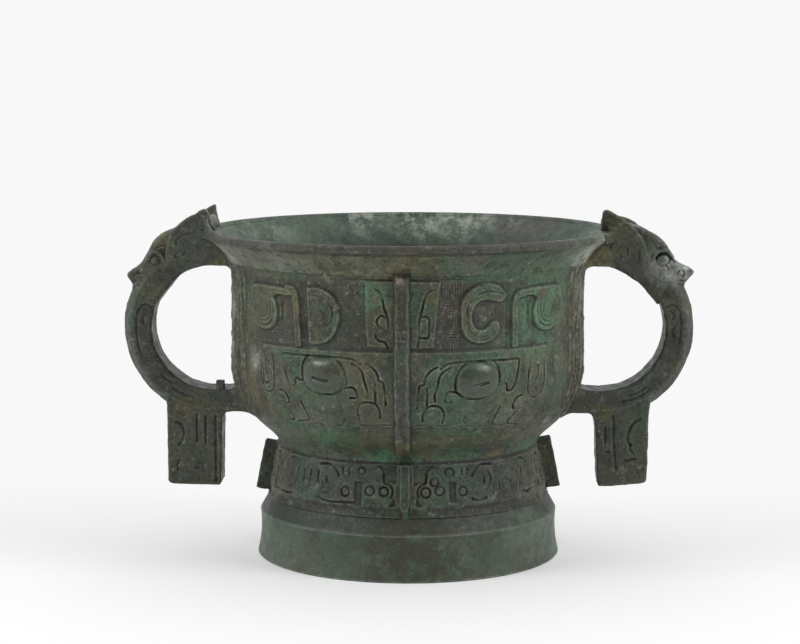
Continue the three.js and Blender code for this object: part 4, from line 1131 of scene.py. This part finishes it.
def outlineGap(x, z, outline):
    p = np.asarray(outline, float)
    best, inside = np.float32(1e9), np.zeros(np.broadcast(x, z).shape, bool)
    for a, b in zip(p, np.roll(p, -1, 0)):
        best = np.minimum(best, segmentGap(x, z, a, b))
        if a[1] != b[1]:
            inside ^= ((a[1] > z) != (b[1] > z)) & (x < a[0] + (z - a[1]) * (b[0] - a[0]) / (b[1] - a[1]))
    return np.where(inside, -1, 1) * np.sqrt(best)


def strokeGap(x, z, points):
    best = np.float32(1e9)
    line = smoothLine(points, 5)
    for a, b in zip(line[:-1], line[1:]):
        best = np.minimum(best, segmentGap(x, z, a, b))
    return np.sqrt(best)


def prism(flat, across, rounding):
    a, b = flat + rounding, across + rounding
    return np.minimum(np.maximum(a, b), 0) + np.hypot(np.maximum(a, 0), np.maximum(b, 0)) - rounding


def merge(a, b, soft):
    h = np.clip(0.5 + 0.5 * (b - a) / soft, 0, 1)
    return b * (1 - h) + a * h - soft * h * (1 - h)


def engrave(body, grid, strokes, width, face):
    faced = grid["y"] * face > 0
    for points in strokes:
        gap = strokeGap(grid["x"], grid["z"], points)
        body = np.maximum(body, np.where(faced, width / 2 - np.hypot(gap, body), -1e3))
    return body


def bead(body, grid, strokes, width, face):
    faced = grid["y"] * face > 0
    for points in strokes:
        gap = strokeGap(grid["x"], grid["z"], points)
        body = np.where(faced, merge(body, np.hypot(gap, body) - width / 2, 0.6), body)
    return body


def roughen(body, grid, size, depth, seed):
    spans = [int((grid[name].ravel()[-1] - grid["low"][i]) / size) + 3 for i, name in enumerate("xyz")]
    lattice = np.random.default_rng(seed).uniform(-1, 1, spans).astype(np.float32)
    for axis, name in enumerate("xyz"):
        u = (grid[name].ravel() - grid["low"][axis]) / size
        i = u.astype(int)
        shape = [1, 1, 1]
        shape[axis] = len(u)
        f = ease(u - i).reshape(shape).astype(np.float32)
        lattice = np.take(lattice, i, axis) * (1 - f) + np.take(lattice, i + 1, axis) * f
    return body + depth * lattice


# Swells, then pits: size and depth of each, with a seed each
def weather(body, grid, layers, *seeds):
    for (size, depth), seed in zip(layers, seeds):
        body = roughen(body, grid, size, depth, seed)
    return body


# A soft junction with the bowl's wall, then the bowl itself is taken away
def joinToBowl(body, grid, soft, sink):
    heights = grid["z"].ravel()
    wall = np.interp(heights, np.append(side[:, 1], bowl["rimTop"]), np.append(side[:, 0], bowl["rim"]))
    slope = np.interp(heights, side[:, 1], sideOut[:, 0])
    outside = ((np.hypot(grid["x"], grid["y"]) - wall) * slope).astype(np.float32)
    outside = np.where(grid["z"] > bowl["rimTop"] - 0.3, 1e3, outside)
    joined = np.maximum(merge(body, outside, soft), body - 0.75 * soft)
    return np.maximum(joined, -outside - sink)


def meshOf(body, grid):
    limit = 3 * grid["cell"]
    volume = openvdb.FloatGrid(limit)
    volume.copyFromArray(np.ascontiguousarray(np.clip(body, -limit, limit), dtype=np.float32))
    points, quads = volume.convertToQuads(0.0)
    return np.asarray(points, float) * grid["cell"] + grid["low"], np.asarray(quads, np.int32)


def placeHandle(node, body, grid, turned):
    points, quads = meshOf(body, grid)
    words = node.split("_")
    name = words[0] + "".join(w.title() for w in words[1:])
    spun = points * ((-1, -1, 1) if turned else (1, 1, 1))
    dress(makeObject(name, spun, quads, [], handlePatina, crease=60), node)


# Handles, drawn on the +X side: strap, pendant, head and horns, with the traits of each side

strap = {
    "centre": (99.5, 117.2), "soft": 5.0, "armUnder": 73.5, "armFrom": 97.5, "armRun": 5.0, "outer": 46.7,
    "section": [(32.0, -9.4), (32.6, -10.6), (33.8, -11), (42.2, -11), (43.2, -10.4), (46.2, -6.4),
                (46.7, -5), (46.7, 5), (46.2, 6.4), (43.2, 10.4), (42.2, 11), (33.8, 11), (32.6, 10.6),
                (32.0, 9.4)],
    "box": ((80, -14, 69.5), (146.9, 14, 166)), "cell": 0.54, "line": 1.2, "sink": 0.6,
    "weather": ((5.0, 0.22), (1.7, 0.14)), "burr": ((96.5, 8.0, 87.2), (2.0, 2.2, 2.4)), "burrRound": 0.4,
}
pendant = {"box": ((88, -10.5, 34.5), (126, 10.5, 85)), "cell": 0.5, "half": 10.0, "rounding": 0.9,
           "line": 1.4, "soft": 2.5, "sink": 0.6, "weather": ((4.0, 0.18), (1.5, 0.13))}
head = {
    "cheek": 10.4, "muzzle": 7.4, "taper": (129.5, 138.5), "mouth": math.radians(24), "eyeOut": 9.3,
    "crown": [(99.2, 167.5), (99.5, 171), (100.3, 173.4), (101.6, 174), (103.6, 172.8), (106, 171.2),
              (109, 170.6), (113, 170.4), (116.5, 169.4)],
    "collar": 5.5, "collarFrom": 163.5, "collarTo": 106.0,
    "box": ((96, -15.4, 128), (146.4, 15.4, 175)), "cell": 0.43, "rounding": 2.2, "brow": 2.4, "line": 1.2,
    "topNarrow": 2.0, "topFrom": 158, "topRun": 14, "socket": 1.15, "strapGap": 0.15, "strapSoft": 1.6,
    "soft": 3.0, "sink": 0.6, "weather": ((4.0, 0.2), (1.5, 0.13)),
}
horn = {"foot": 149.0, "top": 178.65, "thickness": 4.6, "flush": 11.3, "lean": 0.33, "leanFrom": 152.0,
        "webHalf": 1.15, "webFrom": 9.5, "webThin": 1.1, "webSoft": 3.5, "root": (88.0, 166.0),
        "boxX": (85, 126.5), "boxZ": (146, 179), "inner": 2, "cell": 0.42, "rounding": 1.0, "line": 1.1,
        "soft": 4.0, "sink": 0.3, "weather": ((4.0, 0.18), (1.5, 0.12))}
handles = {
    "right": {
        "turned": False, "burr": False, "seed": 51, "eyeGroove": 0.3,
        # Rise, end of swing, ring, foot
        "frontWeb": (1.0, 20.0, 105.0, 162.4), "backWeb": (1.5, 14.0, 104.0, 164.4),
        "strapLines": [[(131, 128), (134, 129.5), (137, 128.5), (138.8, 125), (139.2, 118), (138.6, 110)],
                       [(133.6, 126.5), (135.4, 124.6), (135, 122.4)],
                       [(136, 118), (134.6, 116.5), (135.6, 113.5)],
                       [(113, 82.7), (118, 84.6), (122, 87.2)],
                       [(109.5, 79.6), (113, 80.4), (118, 82.2), (124, 86)]],
        "pendant": [(91, 77), (93.4, 74), (95.8, 70), (96.7, 62), (97.1, 48), (97.7, 36.6), (98.4, 35.3),
                    (104, 35.3), (112, 36), (118, 36.6), (121.8, 37.2), (123, 38.4), (123.3, 46),
                    (123.5, 62), (123.6, 72), (124.4, 79), (124, 84), (116, 80), (108, 77.6), (99, 76.8)],
        "pendantLines": [[(105.3, 72), (105.5, 62), (106, 54), (107, 45)], [(101.3, 66), (101.3, 58)],
                         [(101.5, 53.5), (103.5, 53.5)],
                         [(119, 70.5), (116, 68.5), (114, 65.5), (112.8, 61), (113, 58.5), (114.5, 57)],
                         [(114, 57), (114.3, 54), (116, 52.5)], [(111, 48.5), (114, 49), (117, 50)]],
        "profile": [(120, 168.2), (123, 166.6), (126.3, 164.8), (129.3, 162.6), (131.4, 160.6),
                    (132.8, 158.5), (133.5, 156.4), (134.5, 154.3), (136.2, 152.2), (138.6, 150.3),
                    (142.2, 148.4), (145, 147.3), (145.9, 146.3), (145.4, 144.8), (143.6, 142.8),
                    (141.8, 140.6), (140.8, 138.6), (140.6, 136.2)],
        "under": [(128.2, 128.6), (124.8, 132.6), (120.8, 137.6), (117.2, 141), (111, 145), (107.1, 147.2),
                  (101.8, 149.6), (96, 151.2), (96, 163)],
        "brow": [(125.4, 154), (127.4, 156.6), (129.8, 157.6), (132.4, 156.8), (135, 154)],
        "headLines": [[(126.2, 153.6), (128.2, 155.8), (130.7, 156), (133.2, 154.2), (135.8, 151)],
                      [(133, 143), (135, 142), (138, 141.8), (140.5, 141.5)],
                      [(126, 160), (126.2, 158.8), (128, 158.6), (131, 159.3)],
                      [(137.3, 143.6), (137.4, 145.4), (138.6, 146.9), (140.2, 146.6), (140.8, 145.2),
                       (140.1, 143.7)]],
        "balls": [(129.7, 152.6, 3.1, 2.7), (130.0, 147.5, 2.3, 2.0)],   # eye and the scroll under it
        "frontHorn": [(97.4, 167.4), (97.8, 170.4), (98.2, 174.6), (98.5, 177.3), (99.2, 178.4),
                      (100.4, 178.7), (101.8, 178.3), (105.4, 176.1), (110.6, 172.5), (114.8, 168.9),
                      (118.2, 164.7), (120.4, 161.1), (122, 156.9), (123, 152.7), (123.4, 149)],
        "backHorn": [(100.6, 167.4), (101, 169.6), (101.5, 171.6), (102.4, 173), (104, 173.6), (106, 173.7),
                     (108.9, 173.1), (113.4, 171.8), (118.2, 169), (121.8, 164.9), (123, 159),
                     (123.6, 153.5), (123.6, 149)],
        "hornLines": [[(102.4, 161.3), (102.6, 159)], [(111.3, 158.9), (111.5, 155.3)],
                      [(117.3, 156.8), (117.5, 152.8)],
                      [(105.6, 167.7), (107.1, 164.7)]],
    },
    "left": {
        "turned": True, "burr": True, "seed": 56, "eyeGroove": 0.12,
        "frontWeb": (7.5, 31.0, 104.0, 164.4), "backWeb": (4.0, 17.0, 104.0, 164.4),
        "strapLines": [[(131, 128), (134.4, 129), (137, 127.5), (138.6, 124), (139.2, 117), (138.4, 108),
                        (136, 102)],
                       [(134, 124), (135.8, 122), (135.6, 119.4)], [(110, 81.4), (115, 82.6), (121, 86)],
                       [(126.5, 93), (124, 90.4), (121, 88.6)]],
        "pendant": [(91, 77), (94, 74), (95.8, 70.4), (96.1, 58), (96.3, 45), (96.6, 36), (97.3, 35),
                    (104, 35), (114, 35.2), (121, 35.5), (123.2, 36), (124, 37.4), (124.1, 50), (124.1, 62),
                    (124.1, 72), (124.6, 79), (124, 84), (116, 80), (108, 77.6), (99, 76.8)],
        "pendantLines": [[(104.3, 71), (104.3, 64), (104.3, 57)], [(108.7, 72), (108.7, 65), (108.7, 58)],
                         [(99, 71), (99, 54), (99, 37)],
                         [(119.5, 68), (117, 67), (115.7, 64), (115.6, 61), (116.5, 58), (118, 56)],
                         [(118, 48), (119, 45.5), (118.5, 43)], [(108, 44), (110, 44)]],
        "profile": [(120.5, 167.4), (123, 166.4), (126, 165.1), (128.2, 163.8), (130.2, 161.8),
                    (131.4, 159.8), (132.4, 157.8), (133.6, 155.8), (135, 153.6), (136, 151.6),
                    (137.6, 149.6), (139.8, 147.6), (143.2, 145.6), (144.4, 144.2), (144.2, 142.8),
                    (142.9, 141), (141.6, 139), (141.2, 136.6)],
        "under": [(128.6, 130), (125.4, 134.4), (122.4, 137.6), (118.1, 143.6), (115.5, 145.8),
                  (111.4, 148.2), (106.6, 150.2), (101.3, 151.6), (96, 152.2), (96, 163)],
        "brow": [(125, 152), (127, 155), (129.4, 156), (131.6, 154.8), (133.4, 152)],
        "headLines": [[(137.5, 145), (139, 144.6), (140, 144)], [(133, 142), (136, 141), (139, 140.4)],
                      [(122, 158.6), (125, 159.4), (128, 158.4)]],
        "balls": [(129.0, 151.6, 2.7, 2.3)],
        "frontHorn": [(96.6, 167.4), (98, 169.2), (99.8, 171.6), (100.9, 174.6), (101.2, 176.8),
                      (101.8, 178.2), (102.9, 178.7), (104.9, 178), (107.7, 176), (110.5, 174.9),
                      (114.1, 172.6), (116.9, 170.3), (119.6, 167.4), (121.4, 164.4), (123, 159.4),
                      (123.8, 154), (124, 149)],
        "backHorn": [(97.4, 167.4), (98.7, 169.6), (100, 171.9), (100.4, 173.9), (100.7, 177.4),
                     (101.2, 178.2), (102.2, 178.2), (105.5, 176.4), (111, 173), (116, 169.6), (120, 165.4),
                     (122.6, 160), (123.6, 153.5), (123.8, 149)],
        "hornLines": [[(117.9, 160.6), (116.9, 163.1), (114.5, 164.9), (111, 166.1), (107.4, 167.1),
                       (105, 167.4), (104.1, 165.9), (103.9, 163.6)],
                      [(117.2, 156), (118.4, 154.6), (117.5, 152.8)], [(113.4, 156.4), (114.2, 155)]],
    },
}


def strapGap(grid):
    x, z = grid["x"] - strap["centre"][0], grid["z"] - strap["centre"][1]
    around = np.where(x > 0, np.hypot(x, z), np.abs(z))
    body = outlineGap(around, grid["y"] + 0 * around, strap["section"])
    lowest = strap["centre"][1] - strap["outer"]
    under = lowest + (strap["armUnder"] - lowest) * ease((strap["armFrom"] - grid["x"]) / strap["armRun"])
    return np.maximum(body, under - grid["z"])


def castStrap(own):
    grid = solidGrid(*strap["box"], strap["cell"])
    body = strapGap(grid)
    for face in (-1, 1):
        body = engrave(body, grid, own["strapLines"], strap["line"], face)
    if own["burr"]:
        (x, y, z), (halfX, halfY, halfZ) = strap["burr"]
        flat = np.maximum(np.abs(grid["x"] - x) - halfX, np.abs(grid["z"] - z) - halfZ)
        body = merge(body, prism(flat, np.abs(grid["y"] - y) - halfY, strap["burrRound"]), 0.6)
    body = weather(body, grid, strap["weather"], own["seed"], own["seed"] + 1)
    return joinToBowl(body, grid, strap["soft"], strap["sink"]), grid


def castPendant(own):
    grid = solidGrid(*pendant["box"], pendant["cell"])
    flat = outlineGap(grid["x"], grid["z"], own["pendant"])
    body = prism(flat, np.abs(grid["y"]) - pendant["half"], pendant["rounding"])
    for face in (-1, 1):
        body = engrave(body, grid, own["pendantLines"], pendant["line"], face)
    body = weather(body, grid, pendant["weather"], own["seed"] + 2, own["seed"] + 3)
    return joinToBowl(body, grid, pendant["soft"], pendant["sink"]), grid


def castHead(own):
    grid = solidGrid(*head["box"], head["cell"])
    taperFrom, taperTo = head["taper"]
    draw = np.clip((grid["x"] - taperFrom) / (taperTo - taperFrom), 0, 1)
    top = np.clip((grid["z"] - head["topFrom"]) / head["topRun"], 0, 1)
    half = head["cheek"] + (head["muzzle"] - head["cheek"]) * ease(draw) - head["topNarrow"] * top
    rising = ease((grid["z"] - head["collarFrom"]) / 6)
    half = half + head["collar"] * rising * ease((head["collarTo"] - grid["x"]) / 3)
    flat = outlineGap(grid["x"], grid["z"], head["crown"] + own["profile"] + own["under"])
    body = prism(flat, np.abs(grid["y"]) - half, head["rounding"])
    for face in (-1, 1):
        body = bead(body, grid, [own["brow"]], head["brow"], face)
        body = engrave(body, grid, own["headLines"], head["line"], face)
        for x, z, wide, tall in own["balls"]:
            ball = np.sqrt(((grid["x"] - x) / wide) ** 2 + ((grid["y"] - face * head["eyeOut"]) / wide) ** 2
                           + ((grid["z"] - z) / tall) ** 2)
            body = np.maximum(body, own["eyeGroove"] - np.abs(ball - head["socket"]) * tall)
            body = np.minimum(body, (ball - 1) * tall)
    body = merge(body, strapGap(grid) + head["strapGap"], head["strapSoft"])
    x, z = grid["x"] - strap["centre"][0], grid["z"] - strap["centre"][1]
    body = np.maximum(body, x * math.sin(head["mouth"]) - z * math.cos(head["mouth"]))
    body = weather(body, grid, head["weather"], own["seed"] + 4, own["seed"] + 5)
    return joinToBowl(body, grid, head["soft"], head["sink"]), grid


def castHorn(own, place, hand):
    rootX, rootTop = horn["root"]
    outline = np.vstack([[(rootX, horn["foot"]), (rootX, rootTop)], smoothLine(own[place + "Horn"], 5)])
    rise, webTo, webRing, webFoot = own[place + "Web"]
    widest = hand * (24 + webRing * math.sin(math.radians(webTo - 9)))
    yFrom, yTo = sorted((hand * horn["inner"], widest))
    grid = solidGrid((horn["boxX"][0], yFrom, horn["boxZ"][0]), (horn["boxX"][1], yTo, horn["boxZ"][1]),
                     horn["cell"])
    lean = horn["lean"] * np.maximum(grid["z"] - horn["leanFrom"], 0)
    middle = hand * (horn["flush"] - horn["thickness"] / 2 + lean)
    flat = outlineGap(grid["x"], grid["z"], outline)
    body = prism(flat, np.abs(grid["y"] - middle) - horn["thickness"] / 2, horn["rounding"])
    outer = (grid["y"] - middle) * hand > 0
    for points in own["hornLines"]:
        gap = strokeGap(grid["x"], grid["z"], points)
        body = np.maximum(body, np.where(outer, horn["line"] / 2 - np.hypot(gap, body), -1e3))
    body = weather(body, grid, horn["weather"], own["seed"] + 6 + hand, own["seed"] + 7)
    body = joinToBowl(body, grid, horn["soft"], horn["sink"])
    # A thin web runs from the horn's foot along the lip and dies away
    swing = np.degrees(np.arctan2(grid["y"] * hand, grid["x"]))
    share = np.clip((webTo - swing) / (webTo - horn["webFrom"]), 0, 1)
    away = np.abs(np.hypot(grid["x"], grid["y"]) - webRing)
    ring = away - horn["webHalf"] + horn["webThin"] * (1 - share)
    web = np.maximum(ring, 0.7 * (grid["z"] - bowl["rimTop"] + 0.4 - rise * share ** 1.5))
    web = np.maximum(web, webFoot - grid["z"])
    degree = math.radians(webRing)   # length of a degree on the lip
    web = np.maximum(web, degree * np.maximum(horn["webFrom"] - 3 - swing, swing - webTo))
    return np.maximum(merge(body, web, horn["webSoft"]), grid["z"] - horn["top"]), grid


for hand, own in handles.items():
    outward = 1 if own["turned"] else -1   # the hand of the horn that faces the front
    placeHandle(hand + "_handle_loop", *castStrap(own), own["turned"])
    placeHandle(hand + "_pendant", *castPendant(own), own["turned"])
    placeHandle(hand + "_animal_head", *castHead(own), own["turned"])
    placeHandle(hand + "_front_horn", *castHorn(own, "front", outward), own["turned"])
    placeHandle(hand + "_back_horn", *castHorn(own, "back", -outward), own["turned"])
    print(hand, "handle cast")

# Foot flanges: tongues on the four sides of the foot ring

tongue = {"proudTop": 6.5, "proudFoot": 7.5,
          "front": [(-2.4, 26.0), (2.4, 26.0), (2.5, 12), (2.5, 6), (1.7, 3.8), (0.2, 2.6), (-1.5, 3.2),
                    (-2.4, 5.4), (-2.5, 12)],
          "right": [(-2.7, 28.2), (2.7, 28.2), (2.8, 14), (2.9, 1.7), (-2.9, 1.7), (-2.8, 14)],
          "left": [(-2.7, 25.6), (2.7, 25.6), (2.8, 12), (2.9, 0.0), (-2.9, 0.0), (-2.8, 12)],
          "panelInset": 1.0, "panelDepth": 0.5, "rounding": 0.7, "cell": 0.34,
          "box": ((-3.2, -1.4, -0.4), (3.2, 8, 28.6)), "weather": ((3.5, 0.2), (1.3, 0.1)),
          "seeds": (91, 92)}


def makeFootFlange(outline, panelled):
    grid = solidGrid(*tongue["box"], tongue["cell"])
    proud = tongue["proudFoot"] + (tongue["proudTop"] - tongue["proudFoot"]) * grid["z"] / footLength
    across = np.abs(grid["y"] - (proud - 1) / 2) - (proud + 1) / 2
    flat = outlineGap(grid["x"], grid["z"], outline)
    body = prism(flat, across, tongue["rounding"])
    if panelled:
        sunk = np.maximum(flat + tongue["panelInset"], proud - tongue["panelDepth"] - grid["y"])
        body = np.maximum(body, -sunk)
    return meshOf(weather(body, grid, tongue["weather"], *tongue["seeds"]), grid)


for name, turn, shape in (("front", 0.0, "front"), ("right", math.pi / 2, "right"),
                          ("back", math.pi, "front"), ("left", -math.pi / 2, "left")):
    points, quads = makeFootFlange(tongue[shape], shape == "front")
    radius = bottom[0] + points[:, 2] * footStep[0] + points[:, 1] * footOut[0]
    z = bottom[1] + points[:, 2] * footStep[1] + points[:, 1] * footOut[1]
    across, c, d = points[:, 0], math.cos(turn), math.sin(turn)
    spun = np.stack([across * c + radius * d, across * d - radius * c, z], 1)
    tab = makeObject(name + "FootFlange", spun, quads, [], footPatina, crease=60)
    dress(tab, name + "_foot_flange")
print("foot flanges cast")

# Clay cores and floor spacers stay as they are

for name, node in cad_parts.items():
    if "core" in name or "spacer" in name:
        node.data.materials.clear()
        node.data.materials.append(firedClay if "core" in name else spacerPatina)

# Studio: a white tent with its open side to the camera, and a broad soft lamp on either hand

studio = {
    "white": 0.94, "room": (0.16, 0.8), "roomSpan": (-0.95, -0.2), "floor": 0.93, "glow": 0.1,
    "fade": (-0.08, 0.2), "corners": [(-30, -6, 0), (30, -6, 0), (30, 60, 0), (-30, 60, 0)],
    "paint": (1, 1, 1, 1),
    "lamps": (("leftLight", 0.85, 26.0, 56.0, -67.0), ("rightLight", 1.0, 26.0, 56.0, 67.0)),
}
view = {"lens": 103.0, "sensor": 36.0, "place": (0.0264, -1.1713, 0.2670), "tilt": 82.805, "turn": 1.5}


# Rays that see the plain white: the camera's, and mirrored ones as far as the tent is closed
def whiteRays(tree, closed):
    rays = addNode(tree, "ShaderNodeLightPath").outputs
    mirrored = addNode(tree, "ShaderNodeMath", [rays["Is Glossy Ray"], rays["Is Transmission Ray"]],
                       operation="MAXIMUM").outputs[0]
    mirrored = addNode(tree, "ShaderNodeMath", [mirrored, closed], operation="MULTIPLY").outputs[0]
    return addNode(tree, "ShaderNodeMath", [rays["Is Camera Ray"], mirrored],
                   operation="MAXIMUM").outputs[0]


floorMesh = bpy.data.meshes.new("studioFloor")
floorMesh.from_pydata(studio["corners"], [], [(0, 1, 2, 3)])
floor = addObject("studioFloor", floorMesh)
# Matt white that takes a soft shadow and runs into the backdrop
paper = bpy.data.materials.new("white studio paper")
tree = freshTree(paper)
seen = whiteRays(tree, 1.0)
matt = addNode(tree, "ShaderNodeBsdfDiffuse", {"Color": (studio["floor"],) * 3 + (1.0,)}).outputs[0]
glow = addNode(tree, "ShaderNodeMath", [seen, studio["glow"]], operation="MULTIPLY").outputs[0]
lit = addNode(tree, "ShaderNodeEmission", {"Color": studio["paint"], "Strength": glow}).outputs[0]
sheet = addNode(tree, "ShaderNodeAddShader", [matt, lit]).outputs[0]
place = addNode(tree, "ShaderNodeTexCoord").outputs["Object"]
away = addNode(tree, "ShaderNodeSeparateXYZ", [place]).outputs["Y"]
far = addNode(tree, "ShaderNodeMapRange", [away, *studio["fade"]]).outputs["Result"]
far = addNode(tree, "ShaderNodeMath", [far, seen], operation="MULTIPLY").outputs[0]
backdrop = addNode(tree, "ShaderNodeEmission",
                   {"Color": studio["paint"], "Strength": studio["white"]}).outputs[0]
sheet = addNode(tree, "ShaderNodeMixShader", [far, sheet, backdrop]).outputs[0]
addNode(tree, "ShaderNodeOutputMaterial", {"Surface": sheet})
floorMesh.materials.append(paper)

world = bpy.data.worlds.new("studio")
bpy.context.scene.world = world
tree = freshTree(world)
toward = addNode(tree, "ShaderNodeTexCoord").outputs["Generated"]
depth = addNode(tree, "ShaderNodeSeparateXYZ", [toward]).outputs["Y"]
closed = addNode(tree, "ShaderNodeMapRange", [depth, *studio["roomSpan"]]).outputs["Result"]
tent = addNode(tree, "ShaderNodeMapRange", [closed, 0.0, 1.0, *studio["room"]]).outputs["Result"]
room = addNode(tree, "ShaderNodeBackground", {"Color": studio["paint"], "Strength": tent}).outputs[0]
plain = addNode(tree, "ShaderNodeBackground",
                {"Color": studio["paint"], "Strength": studio["white"]}).outputs[0]
both = addNode(tree, "ShaderNodeMixShader", [whiteRays(tree, closed), room, plain]).outputs[0]
addNode(tree, "ShaderNodeOutputWorld", {"Surface": both})

for name, energy, spread, tilt, turn in studio["lamps"]:
    lamp = addObject(name, bpy.data.lights.new(name, "SUN"))
    lamp.data.energy = energy
    lamp.data.angle = math.radians(spread)
    lamp.rotation_euler = (math.radians(tilt), 0, math.radians(turn))

camera = addObject("photoCamera", bpy.data.cameras.new("photoCamera"))
camera.data.lens = view["lens"]
camera.data.sensor_width = view["sensor"]
camera.data.sensor_fit = "HORIZONTAL"
camera.location = view["place"]
camera.rotation_euler = (math.radians(view["tilt"]), 0, math.radians(view["turn"]))
bpy.context.scene.camera = camera
bpy.context.scene.view_settings.view_transform = "Standard"

print("stage set")
